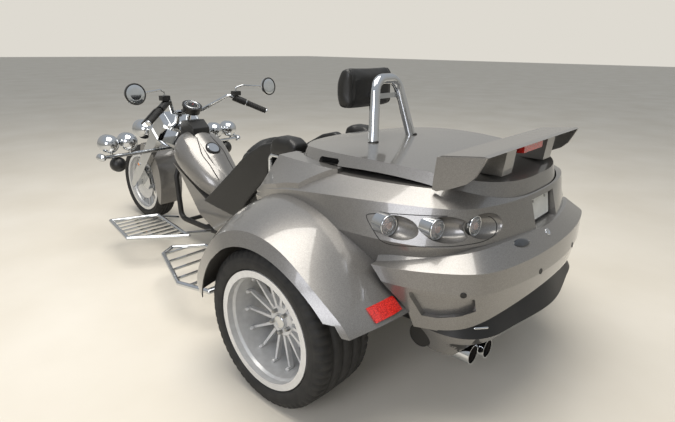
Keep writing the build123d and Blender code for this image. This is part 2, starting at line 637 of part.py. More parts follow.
# Spoiler: a wing with end plates on two pylons
lid_cut = lid_solid(-fit_gap)
wing_profile = [(470, 116), (492, 128), (640, 146), (660, 144), (640, 132), (500, 108)]
end_plate = [(478, 122), (600, 139), (656, 144), (640, 108), (622, 72), (597, 48), (537, 19), (484, 1),
             (468, 6), (470, 40)]
pylon = [(500, 38), (620, 38), (630, 134), (520, 118)]
spoiler = side_slab([(y, deck_rim_height + z) for y, z in wing_profile], -455, 455)
for way in (-1, 1):
    plate = side_slab([(y, deck_rim_height + z) for y, z in end_plate], way * 457 - 8, way * 457 + 8)
    spoiler = spoiler + plate + side_slab([(y, deck_rim_height + z) for y, z in pylon], way * 200 - 42,
                                          way * 200 + 42)
nodes["spoiler"] = spoiler - lid_cut
brake_profile = [(598, 100), (632, 104), (632, 130.2), (598, 124.4)]
nodes["brake_lamp"] = side_slab([(y, deck_rim_height + z) for y, z in brake_profile], -92, 92)

# Hoop with the passenger's back pad
hoop_top = deck_rim_height + 338
hoop = tube([(158, -34, deck_rim_height + 40), (82, -92, hoop_top), (-82, -92, hoop_top),
             (-158, -34, deck_rim_height + 40)], hoop_radius, 74)
pad_profile = [(-246, 200), (-262, 250), (-262, 320), (-238, 376), (-196, 392), (-170, 360), (-168, 214),
               (-196, 196)]
back_pad = side_slab([(y, deck_rim_height + z) for y, z in pad_profile], -172, 172)
back_pad = fillet(back_pad.edges().filter_by(Plane.YZ), 18)
nodes["back_pad"] = back_pad
bar_z = deck_rim_height + 262
hoop = hoop + block(-92, 92, -92, -80, bar_z - 12, bar_z + 12) + block(-40, 40, -170, -80, bar_z - 10, bar_z + 10)
nodes["hoop"] = hoop - lid_cut - back_pad

# Rear fenders: sections round the wheel from the front foot to the tail
# columns: angle from straight ahead, radius at the body, at the crown, at the crease,
#          and how far the lip's edge stands back from the wheel opening
fender_rows = [
    (5, 470, 446, 410, 0),
    (28, 532, 490, 421, 0),
    (55, 520, 482, 415, 0),
    (85, 476, 452, 405, 0),
    (113, 442, 430, 397, 6),
    (138, 446, 436, 412, 32),
    (152, 478, 470, 458, 62),
    (166, 545, 520, 476, 84),
]
fender_root = 556
crease_x = fender_outer - 25


def fender_loft(outer, inner):
    """The fender's skin between two offsets from its outer surface."""
    crown_x = (fender_root + crease_x) / 2 + 30
    sections = []
    for angle, root, crown, crease, stand_back in fender_rows:
        along_y, along_z = -cos(radians(angle)), sin(radians(angle))
        edge = wheel_opening + stand_back

        def at(x, radius):
            return (x, along_y * radius, rear_tyre_radius + along_z * radius)
        lip = fender_outer + outer
        sections.append(make_face(make_edges([
            ThreePointArc(at(fender_root, root + outer), at(crown_x, crown + outer),
                          at(crease_x + outer, crease + outer)),
            Line(at(crease_x + outer, crease + outer), at(lip, edge)),
            Line(at(lip, edge), at(fender_outer + inner, edge)),
            Line(at(fender_outer + inner, edge), at(crease_x + inner, crease + inner)),
            ThreePointArc(at(crease_x + inner, crease + inner), at(crown_x, crown + inner),
                          at(fender_root, root + inner)),
            Line(at(fender_root, root + inner), at(fender_root, root + outer)),
        ])))
    return loft(sections)


tail_cut = side_slab([(250, 533), (400, 530), (430, 498), (620, 492), (620, 200), (250, 200)], 400, 1000)
reflector_box = plan_slab([(622, 368), (758, 368), (758, 478), (622, 478)], 512, 548)
reflector = (fender_loft(7, fit_gap) & reflector_box) - tail_cut

# Bumper: a shell open below, arched along its lower edge, with a pocket in each corner
bumper_wall = 6
bumper_falls = (level, level, (700, 0.08, 0), (700, 0.25, 0), level)
bumper_rows = [
    (430, 300, 605, 400, 606, 540, 556, 374, 712, 770),
    (600, 300, 636, 400, 640, 600, 572, 380, 750, rear_overhang),
    (680, 300, 648, 400, 636, 618, 562, 380, 750, rear_overhang - 8),
    (742, 300, 604, 400, 600, 545, 532, 344, 690, 738),
    (744, 340, 545, 420, 540, 525, 474, 304, 640, 694),
]
bumper_solid = plan_loft(bumper_rows, 0, falls=bumper_falls)


def bumper_inside(inset):
    rows = [(bumper_rows[0][0] - 1,) + bumper_rows[0][1:]] + bumper_rows[1:4]
    return plan_loft(rows + [(bumper_rows[4][0] + 4,) + bumper_rows[4][1:]], inset, falls=bumper_falls)


def bumper_front(gap):
    """What lies ahead of the bumper's slanted front edges."""
    edge = [(330, 800), (345, 655), (395, 600), (450, 548), (485, 500), (500, 430), (500, 400)]
    return side_slab([(200, 800)] + [(y - gap, z) for y, z in edge] + [(200, 400)], -750, 750)


arch = make_face(make_edges([
    ThreePointArc((-540, 300, 434), (0, 300, 536), (540, 300, 434)),
    Line((540, 300, 434), (540, 300, 380)),
    Line((540, 300, 380), (-540, 300, 380)),
    Line((-540, 300, 380), (-540, 300, 434)),
]))
arch = extrude(arch, 600, dir=(0, 1, 0))
pocket_outline = [(530, 488), (496, 566), (496, 584), (690, 584), (690, 530), (650, 508), (580, 488)]
pocket_rim = [(518, 478), (486, 562), (486, 594), (720, 594), (720, 520), (660, 498), (585, 478)]
pocket = side_slab(pocket_outline, 470, 700)
pocket = (pocket & bumper_solid) - placed(bumper_solid, -18, -14, 0)
pocket_skin = side_slab(pocket_rim, 460, 700) & bumper_solid
pocket_skin = pocket_skin - placed(bumper_solid, -23, -19, 0)
bumper = bumper_solid - bumper_inside(bumper_wall)
bumper = (bumper + pocket_skin + mirrored(pocket_skin)) - pocket - mirrored(pocket)
nodes["rear_bumper"] = bumper - arch - bumper_front(0) - body_loft(body_rows, -fit_gap)
nodes["armrest_rails"] = Compound(children=[rail - body_loft(body_rows, -fit_gap) for rail in rails])
bumper_edge = plan_loft(bumper_rows, -fit_gap, falls=bumper_falls) - bumper_front(fit_gap)
fender = fender_loft(0, -fender_wall) - bumper_edge - body_loft(body_rows, -fit_gap) - tail_cut
nodes["rear_left_fender"] = fender
nodes["rear_right_fender"] = mirrored(fender)
reflector = reflector - body_loft(body_rows, -fit_gap) - bumper_edge

# Diffuser: a blade under the bumper with a fin at each side of the tail pipes
diffuser_rows = [
    (300, 500, 470, 560, 480, 620, 452, 290, 682, 712),
    (378, 480, 500, 540, 516, 650, 486, 300, 728, 768),
    (414, 480, 520, 540, 530, 662, 500, 310, 752, rear_overhang),
    (504, 480, 505, 540, 512, 630, 478, 300, 702, 750),
]
diffuser = plan_loft(diffuser_rows, 0) - plan_loft(
    [(diffuser_rows[0][0] - 1,) + diffuser_rows[0][1:], diffuser_rows[1], diffuser_rows[2],
     (diffuser_rows[3][0] - 6,) + diffuser_rows[3][1:]], 8)
wall_room = plan_loft(bumper_rows, -fit_gap, falls=bumper_falls) - bumper_inside(bumper_wall + fit_gap)
pocket_room = side_slab(pocket_rim, 450, 720)
muffler_z = rear_rail_height + rail_radius + fit_gap + muffler_radius
muffler_room = rod((-600, 480, muffler_z), (600, 480, muffler_z), muffler_radius + 3)
tab = (block(424, 452, 600, 800, 440, 503) & bumper_inside(bumper_wall + fit_gap)) - block(
    400, 500, 500, 800, 400, 452)
diffuser = diffuser + tab + mirrored(tab)
diffuser = diffuser - block(-462, 462, 400, 900, 270, 378) - (wall_room - arch) - pocket_room
nodes["rear_diffuser"] = diffuser - mirrored(pocket_room) - muffler_room

# Exhaust: a cross muffler on the rear rails with two tail pipes a side
tips = []
muffler = rod((-490, 480, muffler_z), (490, 480, muffler_z), muffler_radius)
tail_pipe_z = 312
for way in (-1, 1):
    for x, y in ((420, 668), (346, 690)):
        pipe = rod((way * x, 560, tail_pipe_z), (way * x, y, tail_pipe_z), tail_pipe_radius)
        tips.append(pipe - rod((way * x, y - 100, tail_pipe_z), (way * x, y + 1, tail_pipe_z),
                               tail_pipe_radius - tail_pipe_wall))
        muffler = muffler + rod((way * x, 480, tail_pipe_z), (way * x, 564, tail_pipe_z), 33)
nodes["exhaust"] = muffler + tips

# Tail lamps in scooped recesses of the body's rear corners
lamp_height = shoulder_height - 72
tail_lamps = []
# columns: across, y, height, heading of the lamp from straight back, heading of the panel,
#          how far the lens sits inside the body's surface
for x, y, z, toe, panel, recess in ((598, 392, lamp_height, 12, 82, 6), (522, 538, lamp_height + 4, 8, 55, 4),
                                    (410, 629, lamp_height + 8, 4, 34, 12)):
    lens_way = Vector(sin(radians(toe)), cos(radians(toe)), 0)
    along_panel = Vector(-cos(radians(panel)), sin(radians(panel)), 0)
    middle = Vector(x, y, z)
    socket = Plane(origin=middle - lens_way * (recess + 52), z_dir=lens_way)
    lamp = socket * Pos(0, 0, 26) * Cylinder(tail_lamp_radius, 52)
    scoop_plane = Plane(origin=middle + along_panel * 34, x_dir=along_panel, z_dir=(0, 0, 1))
    hollow = scoop_plane * scale(Sphere(1), by=(88, 44, 46))
    skin = scoop_plane * scale(Sphere(1), by=(92, 48, 50))
    depth = recess + 52 + 50
    lamp_room = socket * Pos(0, 0, depth / 2 - fit_gap) * Cylinder(tail_lamp_radius + fit_gap, depth)
    sleeve = socket * Pos(0, 0, depth / 2 - fit_gap - 3) * Cylinder(tail_lamp_radius + fit_gap + 3, depth)
    for flip in (False, True):
        cup = ((skin + sleeve) & body_room) - hollow - lamp_room
        cut = hollow + lamp_room
        body = body - (mirrored(cut) if flip else cut) + (mirrored(cup) if flip else cup)
        tail_lamps.append(mirrored(lamp) if flip else lamp)

# Plate frame, sunk into a pocket of the rear panel
plate_low = waist_height + 4
plate_high = shoulder_height - 20
plate_half = 108
plate_thickness = 10
plate_low_y = waist_height - 48
plate_high_y = shoulder_height - 194


def plate_pocket(out):
    """The pocket's room with its walls moved outwards by out."""
    return side_slab([(plate_low_y - plate_thickness - out, plate_low - 2 - out),
                      (plate_high_y - plate_thickness - out, plate_high + 2 + out),
                      (900, plate_high + 2 + out), (900, plate_low - 2 - out)],
                     -plate_half - 2 - out, plate_half + 2 + out)


body = body + (plate_pocket(shell_wall) & body_solid) - plate_pocket(0)
nodes["rear_body"] = body
nodes["plate_frame"] = side_slab(
    [(plate_low_y, plate_low), (plate_high_y, plate_high),
     (plate_high_y - plate_thickness + 1, plate_high),
     (plate_low_y - plate_thickness + 1, plate_low)], -plate_half, plate_half)
nodes["side_lamps"] = Compound(children=tail_lamps + [reflector, mirrored(reflector)])

# Engine, gearbox and axle
nodes["engine_block"] = block(-258, 258, 60, 400, 235, 600)
axle_half = rear_tyre_middle + hub_depth - fit_gap
drive = block(-130, 130, -330, 60 - fit_gap, 240, 470)
drive = drive + rod((-axle_half, 0, rear_tyre_radius), (axle_half, 0, rear_tyre_radius), half_shaft_radius)
arms = []
rail_side = rear_rail_half_spacing + rail_radius + fit_gap
for way in (-1, 1):
    shaft_room = rod((way * 580, 0, rear_tyre_radius), (way * 660, 0, rear_tyre_radius),
                     half_shaft_radius + fit_gap)
    carrier = rod((way * 590, 0, rear_tyre_radius), (way * 655, 0, rear_tyre_radius), 58) - shaft_room
    arm = rod((way * 620, -30, rear_tyre_radius), (way * (rail_side + 24), -366, 288), 20) - rod(
        (way * 580, 0, rear_tyre_radius), (way * 660, 0, rear_tyre_radius), 40)
    arm = arm + rod((way * rail_side, -370, 285), (way * (rail_side + 40), -370, 285), 26)
    arms.append(carrier + arm)
nodes["rear_axle"] = Compound(children=[drive] + arms)

# Footboards: a bent tube loop with cross slats on braces from the floor rails
board_z = 200
board_tube = 13
front_loop = [(255, front_y + 578), (550, front_y + 456), (625, front_y + 857), (332, -1398)]
rear_loop = [(350, -1180), (510, -1296), (600, -1240), (740, -840), (685, -640), (350, -600)]
# columns: name, loop, slats, places of the two braces, y of the loop's inner ends
for name, loop, slat_count, braces in (("front", front_loop, 9, (front_y + 620, -1460)),
                                       ("rear", rear_loop, 6, (-1120, -800))):
    points = [(x, y, board_z) for x, y in loop]
    shape = Pos(*points[0]) * Sphere(board_tube)
    for a, b in zip(points, points[1:] + points[:1]):
        shape = shape + rod(a, b, board_tube) + Pos(*b) * Sphere(board_tube)
    inside = plan_slab(loop, board_z - 5, board_z + 5)
    inner_from, inner_to = Vector(*points[0]), Vector(*points[-1])
    for y in braces:
        share = (y - inner_from.Y) / (inner_to.Y - inner_from.Y)
        joint = inner_from + (inner_to - inner_from) * share
        shape = shape + rod((rail_half_spacing + rail_radius + fit_gap, y, rail_height + 4),
                            (joint.X, y, board_z), 10)
    ys = [y for x, y in loop]
    low, high = min(ys) + 60, max(ys) - 60
    for i in range(slat_count):
        y = low + (high - low) * i / (slat_count - 1)
        shape = shape + (block(200, 800, y - 9, y + 9, board_z - 4, board_z + 4) & inside)
    nodes[f"{name}_footboards"] = both(shape)

for name, shape in nodes.items():
    export_step(Pos(0, axle_y, 0) * shape, f"parts/{name}.step")
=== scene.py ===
from math import cos, pi, radians, sin

import bmesh
import bpy
from mathutils import Matrix, Vector
from mathutils.bvhtree import BVHTree


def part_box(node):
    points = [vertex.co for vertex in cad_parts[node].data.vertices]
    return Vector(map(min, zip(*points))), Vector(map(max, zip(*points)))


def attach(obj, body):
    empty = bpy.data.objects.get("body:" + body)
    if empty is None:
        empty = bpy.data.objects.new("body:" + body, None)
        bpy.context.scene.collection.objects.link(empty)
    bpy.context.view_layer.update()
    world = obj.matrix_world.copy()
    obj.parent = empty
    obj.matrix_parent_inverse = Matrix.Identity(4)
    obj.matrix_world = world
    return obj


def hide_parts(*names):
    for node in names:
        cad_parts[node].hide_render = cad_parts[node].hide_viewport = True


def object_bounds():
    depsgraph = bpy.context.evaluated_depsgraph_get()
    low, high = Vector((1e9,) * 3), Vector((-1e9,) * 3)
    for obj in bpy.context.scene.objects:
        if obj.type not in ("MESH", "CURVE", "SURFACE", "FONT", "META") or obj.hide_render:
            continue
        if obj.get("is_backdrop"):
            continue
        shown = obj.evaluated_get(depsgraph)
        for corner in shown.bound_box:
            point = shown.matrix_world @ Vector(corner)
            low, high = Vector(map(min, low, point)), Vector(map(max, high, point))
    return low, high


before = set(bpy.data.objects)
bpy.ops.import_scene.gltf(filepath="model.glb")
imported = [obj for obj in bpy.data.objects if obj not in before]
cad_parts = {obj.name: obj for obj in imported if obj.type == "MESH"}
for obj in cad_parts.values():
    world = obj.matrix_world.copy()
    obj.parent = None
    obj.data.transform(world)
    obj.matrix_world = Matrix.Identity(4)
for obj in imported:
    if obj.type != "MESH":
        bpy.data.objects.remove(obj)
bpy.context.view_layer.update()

# Camera, behind the left rear wheel at head height, looking forward and a little down.
# Places on the machine are given in millimetres from the rear axle's line on the ground.
rear_low, rear_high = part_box("rear_left_tyre")
axle_y = (rear_low.y + rear_high.y) / 2


def at(x, y, z):
    """A place in metres from its millimetres, y counted back from the rear axle."""
    return Vector((x / 1000, y / 1000 + axle_y, z / 1000))


camera_data = bpy.data.cameras.new("camera")
camera_data.lens = 26.08
camera_data.sensor_width = 36
camera = bpy.data.objects.new("camera", camera_data)
bpy.context.scene.collection.objects.link(camera)
camera_axes = Matrix(((-0.66779, 0.74423, 0.01345), (-0.22688, -0.22072, 0.94858),
                      (0.70893, 0.63040, 0.31624))).transposed()
camera.matrix_world = Matrix.Translation(at(1918, 1319, 1383)) @ camera_axes.to_4x4()
bpy.context.scene.camera = camera
bpy.context.scene.view_settings.view_transform = "Standard"


# Ground: pale, smooth concrete with a faint mottling, seen up to the horizon.
# The sky is one soft dome, lighter above, and two big soft boxes light the paint.
def linear(code):
    """An sRGB hex colour in Blender's linear values."""
    parts = [int(code[i:i + 2], 16) / 255 for i in (1, 3, 5)]
    return [c / 12.92 if c <= 0.04045 else ((c + 0.055) / 1.055) ** 2.4 for c in parts] + [1.0]


def feed(node, inputs):
    """Gives a node its inputs, each a value or the socket that it comes from."""
    for name, value in inputs.items():
        if isinstance(value, bpy.types.NodeSocket):
            node.id_data.links.new(value, node.inputs[name])
        else:
            node.inputs[name].default_value = value


def add(tree, kind, inputs=None, **settings):
    """Adds one node with its settings and inputs."""
    node = tree.nodes.new(kind)
    for name, value in settings.items():
        setattr(node, name, value)
    feed(node, inputs or {})
    return node


def new_material(name):
    """A material with its tree, the places on the piece and the shader at its output."""
    material = bpy.data.materials.new(name)
    material.use_nodes = True
    tree = material.node_tree
    tree.nodes.clear()
    place = add(tree, "ShaderNodeTexCoord").outputs["Object"]
    shader = add(tree, "ShaderNodeBsdfPrincipled")
    add(tree, "ShaderNodeOutputMaterial", {"Surface": shader.outputs["BSDF"]})
    return material, tree, place, shader


def two_tones(tree, source, low, high, dark, light):
    """A ramp from a dark to a light colour over a range of a pattern's value."""
    ramp = add(tree, "ShaderNodeValToRGB", {"Fac": source})
    ramp.color_ramp.elements[0].position = low
    ramp.color_ramp.elements[0].color = linear(dark)
    ramp.color_ramp.elements[1].position = high
    ramp.color_ramp.elements[1].color = linear(light)
    return ramp.outputs["Color"]


ground_paint, tree, place, shader = new_material("smooth_concrete")
mottle = add(tree, "ShaderNodeTexNoise", {"Vector": place, "Scale": 1.2, "Detail": 6.0}).outputs["Fac"]
tone = two_tones(tree, mottle, 0.3, 0.75, "#cfc8ba", "#d9d3c7")
feed(shader, {"Base Color": tone, "Roughness": 0.9})
ground_mesh = bpy.data.meshes.new("ground")
ground_mesh.from_pydata([(-60, -60, 0), (60, -60, 0), (60, 60, 0), (-60, 60, 0)], [], [(0, 1, 2, 3)])
ground_mesh.materials.append(ground_paint)
ground = bpy.data.objects.new("ground", ground_mesh)
bpy.context.scene.collection.objects.link(ground)
ground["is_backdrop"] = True

world = bpy.data.worlds.new("soft_sky")
bpy.context.scene.world = world
world.use_nodes = True
tree = world.node_tree
tree.nodes.clear()
sky_way = add(tree, "ShaderNodeTexCoord").outputs["Generated"]
sky_height = add(tree, "ShaderNodeSeparateXYZ", {"Vector": sky_way}).outputs["Z"]
sky_tone = two_tones(tree, sky_height, 0.0, 0.7, "#dcd8cf", "#e4eaf2")
sky = add(tree, "ShaderNodeBackground", {"Color": sky_tone, "Strength": 0.62})
seen = add(tree, "ShaderNodeBackground", {"Color": linear("#dedad1"), "Strength": 1.0})
is_camera = add(tree, "ShaderNodeLightPath").outputs["Is Camera Ray"]
both_skies = add(tree, "ShaderNodeMixShader", {"Fac": is_camera, 1: sky.outputs["Background"],
                                               2: seen.outputs["Background"]})
add(tree, "ShaderNodeOutputWorld", {"Surface": both_skies.outputs["Shader"]})

# columns: name, place, what it looks at, size, watts, colour
for name, place, goal, size, watts, tint in (
        ("key_box", (0.6, 0.4, 5.6), (0.0, -0.2, 0.0), 4.2, 330, "#fffaf2"),
        ("side_box", (5.6, 2.2, 3.0), (0.2, 0.4, 0.6), 2.6, 120, "#f4f6ff")):
    lamp = bpy.data.lights.new(name, "AREA")
    lamp.shape = "SQUARE"
    lamp.size = size
    lamp.energy = watts
    lamp.color = linear(tint)[:3]
    lamp_object = bpy.data.objects.new(name, lamp)
    bpy.context.scene.collection.objects.link(lamp_object)
    way = Vector(goal) - Vector(place)
    lamp_object.matrix_world = Matrix.Translation(place) @ way.to_track_quat("-Z", "Y").to_matrix().to_4x4()


# Bodywork: glass-fibre and steel panels in one graphite metallic colour under clear coat.
# The flakes are drawn at 2 mm, coarser than the real tenths, so that they show.
def dress(material, *nodes):
    """Gives carried-over CAD nodes a finished material."""
    for node in nodes:
        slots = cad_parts[node].data.materials
        slots.clear()
        slots.append(material)


paint, tree, place, shader = new_material("metallic_paint_clear_coat")
flakes = add(tree, "ShaderNodeTexVoronoi", {"Vector": place, "Scale": 480.0}).outputs["Color"]
flake_value = add(tree, "ShaderNodeSeparateXYZ", {"Vector": flakes}).outputs["X"]
flake_tone = two_tones(tree, flake_value, 0.15, 0.95, "#74726f", "#888683")
drift = add(tree, "ShaderNodeTexNoise", {"Vector": place, "Scale": 1.6, "Detail": 3.0}).outputs["Fac"]
dust = two_tones(tree, drift, 0.35, 0.8, "#76736e", "#827f7a")
tone = add(tree, "ShaderNodeMix", {"Factor": 0.3, "A": flake_tone, "B": dust}, data_type="RGBA")
peel = add(tree, "ShaderNodeTexNoise", {"Vector": place, "Scale": 90.0, "Detail": 1.0}).outputs["Fac"]
orange_peel = add(tree, "ShaderNodeBump", {"Strength": 0.02, "Distance": 0.002, "Height": peel})
feed(shader, {"Base Color": tone.outputs["Result"], "Metallic": 0.6, "Roughness": 0.34, "Coat Weight": 1.0,
              "Coat Roughness": 0.05, "Coat Normal": orange_peel.outputs["Normal"]})
dress(paint, "rear_body", "trunk_lid", "spoiler", "rear_left_fender", "rear_right_fender", "rear_bumper",
      "rear_diffuser", "tank_body", "belly_panel", "front_fender")

# Chromed steel and polished aluminium: fork, bars, lamps, hoop, footboards and tail pipes.
# A mirror finish, broken only by faint wiping marks in its gloss.
chrome, tree, place, shader = new_material("chrome_plated_steel")
wipes = add(tree, "ShaderNodeTexNoise", {"Vector": place, "Scale": 14.0, "Detail": 5.0}).outputs["Fac"]
gloss = add(tree, "ShaderNodeMapRange", {"Value": wipes, "From Min": 0.3, "From Max": 0.8, "To Min": 0.04,
                                         "To Max": 0.13}).outputs["Result"]
tone = two_tones(tree, wipes, 0.3, 0.8, "#c6c9cc", "#d4d6d8")
feed(shader, {"Base Color": tone, "Roughness": gloss, "Metallic": 1.0})
dress(chrome, "triple_clamps", "handlebar", "lamp_bar", "front_lamps", "armrest_rails", "hoop",
      "front_footboards", "rear_footboards", "exhaust", "fork_legs", "fuel_cap")

# Frame tubes and axle castings: mild steel with black powder coat, slightly pebbled.
powder, tree, place, shader = new_material("black_powder_coat")
pebble = add(tree, "ShaderNodeTexNoise", {"Vector": place, "Scale": 420.0, "Detail": 2.0}).outputs["Fac"]
grime = add(tree, "ShaderNodeTexNoise", {"Vector": place, "Scale": 6.0, "Detail": 6.0}).outputs["Fac"]
tone = two_tones(tree, grime, 0.35, 0.8, "#141414", "#2a2824")
bump = add(tree, "ShaderNodeBump", {"Strength": 0.25, "Distance": 0.0006, "Height": pebble})
feed(shader, {"Base Color": tone, "Roughness": 0.5, "Normal": bump.outputs["Normal"]})
dress(powder, "rear_axle", "main_frame")

# Engine and gearbox behind the seat: cast aluminium, sand-blasted grey with oily dust.
cast, tree, place, shader = new_material("sand_cast_aluminium")
grit = add(tree, "ShaderNodeTexNoise", {"Vector": place, "Scale": 260.0, "Detail": 4.0}).outputs["Fac"]
grime = add(tree, "ShaderNodeTexNoise", {"Vector": place, "Scale": 5.0, "Detail": 6.0}).outputs["Fac"]
tone = two_tones(tree, grime, 0.3, 0.75, "#3a3835", "#6d6b67")
bump = add(tree, "ShaderNodeBump", {"Strength": 0.5, "Distance": 0.001, "Height": grit})
feed(shader, {"Base Color": tone, "Roughness": 0.62, "Metallic": 0.8, "Normal": bump.outputs["Normal"]})
dress(cast, "engine_block")

# Moulded black plastic: console, control housings, horns, trunk tub and plate frame.
# Injection-moulded with a fine spark-eroded grain, greyer where it is dusty.
plastic, tree, place, shader = new_material("moulded_black_abs")
grain = add(tree, "ShaderNodeTexNoise", {"Vector": place, "Scale": 700.0, "Detail": 2.0}).outputs["Fac"]
dusty = add(tree, "ShaderNodeTexNoise", {"Vector": place, "Scale": 9.0, "Detail": 4.0}).outputs["Fac"]
tone = two_tones(tree, dusty, 0.35, 0.85, "#121212", "#232323")
bump = add(tree, "ShaderNodeBump", {"Strength": 0.3, "Distance": 0.0004, "Height": grain})
feed(shader, {"Base Color": tone, "Roughness": 0.42, "Normal": bump.outputs["Normal"]})
dress(plastic, "console", "hand_controls", "horn_lamps", "trunk_tub", "plate_frame", "gauge_pod")

# Rear and front tyres: black road rubber with ring grooves and cut shoulder blocks.
# Moulded in one piece with the rim flange ribs; the sides stay blank.
rubber, tree, place, shader = new_material("vulcanised_tyre_rubber")
scuff = add(tree, "ShaderNodeTexNoise", {"Vector": place, "Scale": 22.0, "Detail": 6.0}).outputs["Fac"]
pores = add(tree, "ShaderNodeTexNoise", {"Vector": place, "Scale": 600.0, "Detail": 2.0}).outputs["Fac"]
tone = two_tones(tree, scuff, 0.35, 0.8, "#161616", "#2b2a28")
bump = add(tree, "ShaderNodeBump", {"Strength": 0.35, "Distance": 0.0006, "Height": pores})
feed(shader, {"Base Color": tone, "Roughness": 0.72, "Normal": bump.outputs["Normal"]})


def keep(name, made, material, body, smooth=True):
    """A finished mesh piece at the origin, riding on its body."""
    mesh = bpy.data.meshes.new(name)
    if isinstance(made, bmesh.types.BMesh):
        made.to_mesh(mesh)
        made.free()
    else:
        mesh.from_pydata(made[0], [], made[1])
    mesh.materials.append(material)
    mesh.polygons.foreach_set("use_smooth", [smooth] * len(mesh.polygons))
    mesh.update()
    item = bpy.data.objects.new(name, mesh)
    bpy.context.scene.collection.objects.link(item)
    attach(item, body)
    return item


def tyre_profile(half, radius, seat, lip, grooves):
    """Half sections from the left bead over the tread to the right bead, as (across, radius, block)."""
    side = [(half - 16, seat, 0), (half - 16, lip, 0), (half - 11, lip + 5, 0), (half - 5, lip + 8, 0),
            (half - 4, lip + 13, 0), (half - 1, lip + 22, 0), (half, (lip + radius) / 2 - 2, 0),
            (half - 1.6, (lip + radius) / 2 + 1, 0), (half - 0.8, (lip + radius) / 2 + 4, 0),
            (half - 3, radius - 32, 0), (half - 6, radius - 22, 1), (half - 14, radius - 10, 1),
            (half - 24, radius - 5, 1)]
    middle = []
    for groove in grooves:
        for share, deep in ((-6, 0), (-4, 8), (4, 8), (6, 0)):
            place = groove + share
            crown = radius - 5 * (abs(place) / (half - 24)) ** 2
            middle.append((place, crown - deep, 0))
    left = [(-a, r, b) for a, r, b in side]
    return left + middle + side[::-1]


def tyre_piece(name, node, body, half, radius, seat, lip, grooves, turns):
    low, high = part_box(node)
    middle = (low + high) / 2
    profile = tyre_profile(half, radius, seat, lip, grooves)
    points, faces = [], []
    for i in range(turns):
        angle = 2 * pi * i / turns
        for across, r, block in profile:
            r = r - 7 if block and i % 4 == 0 else r
            points.append(middle + Vector((across, r * cos(angle), r * sin(angle))) / 1000)
    count = len(profile)
    for i in range(turns):
        for j in range(count):
            a, b = i * count + j, i * count + (j + 1) % count
            c, d = ((i + 1) % turns) * count + (j + 1) % count, ((i + 1) % turns) * count + j
            faces.append((a, d, c, b))
    item = keep(name, (points, faces), rubber, body)
    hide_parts(node)
    return item


for side in ("left", "right"):
    tyre_piece(f"rear_{side}_tread", f"rear_{side}_tyre", f"rear_{side}_wheel", 143, 332, 229.5, 247.5,
               (-78, -27, 27, 78), 240)
tyre_piece("front_tread", "front_tyre", "front_wheel", 76, 307, 219.5, 235.5, (-24, 0, 24), 200)

# Cast wheels: satin silver lacquer on the spokes, polished bare aluminium on the lips.
# The gloss changes at the lip's radius, read from the wheel's own axis line.
wheel_middles = {}
for node in ("rear_left_rim", "rear_right_rim", "front_rim"):
    low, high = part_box(node)
    wheel_middles[node] = (low + high) / 2


def wheel_alloy(name, node, lip_from):
    material, tree, place, shader = new_material(name)
    middle = wheel_middles[node]
    centred = add(tree, "ShaderNodeVectorMath", {0: place, 1: (middle.x, middle.y, middle.z)},
                  operation="SUBTRACT").outputs["Vector"]
    flat = add(tree, "ShaderNodeVectorMath", {0: centred, 1: (0, 1, 1)}, operation="MULTIPLY").outputs["Vector"]
    reach = add(tree, "ShaderNodeVectorMath", {0: flat}, operation="LENGTH").outputs["Value"]
    lip = add(tree, "ShaderNodeMapRange", {"Value": reach, "From Min": lip_from, "From Max": lip_from + 0.002})
    lathe = add(tree, "ShaderNodeTexNoise", {"Vector": place, "Scale": 40.0, "Detail": 4.0}).outputs["Fac"]
    satin = two_tones(tree, lathe, 0.35, 0.75, "#c9c9c8", "#d6d6d5")
    bright = two_tones(tree, lathe, 0.35, 0.75, "#cfcfce", "#dadad8")
    tone = add(tree, "ShaderNodeMix", {"Factor": lip.outputs["Result"], "A": satin, "B": bright},
               data_type="RGBA")
    gloss = add(tree, "ShaderNodeMapRange", {"Value": lip.outputs["Result"], "To Min": 0.34, "To Max": 0.14})
    feed(shader, {"Base Color": tone.outputs["Result"], "Metallic": 0.35, "Roughness": gloss.outputs["Result"]})
    return material


dress(wheel_alloy("cast_aluminium_left_wheel", "rear_left_rim", 0.222), "rear_left_rim")
dress(wheel_alloy("cast_aluminium_right_wheel", "rear_right_rim", 0.222), "rear_right_rim")
front_alloy = wheel_alloy("cast_aluminium_front_wheel", "front_rim", 0.212)
dress(front_alloy, "front_rim")


# Wheel fasteners: five plated nuts on each rear hub, and a rivet where each spoke meets the barrel.
# The nuts are zinc-plated steel, screwed on; the rivets are aluminium, pressed in from outside.
plated, tree, place, shader = new_material("zinc_plated_steel")
stain = add(tree, "ShaderNodeTexNoise", {"Vector": place, "Scale": 120.0, "Detail": 3.0}).outputs["Fac"]
tone = two_tones(tree, stain, 0.3, 0.8, "#8f8f8e", "#b4b4b2")
feed(shader, {"Base Color": tone, "Roughness": 0.3, "Metallic": 1.0})


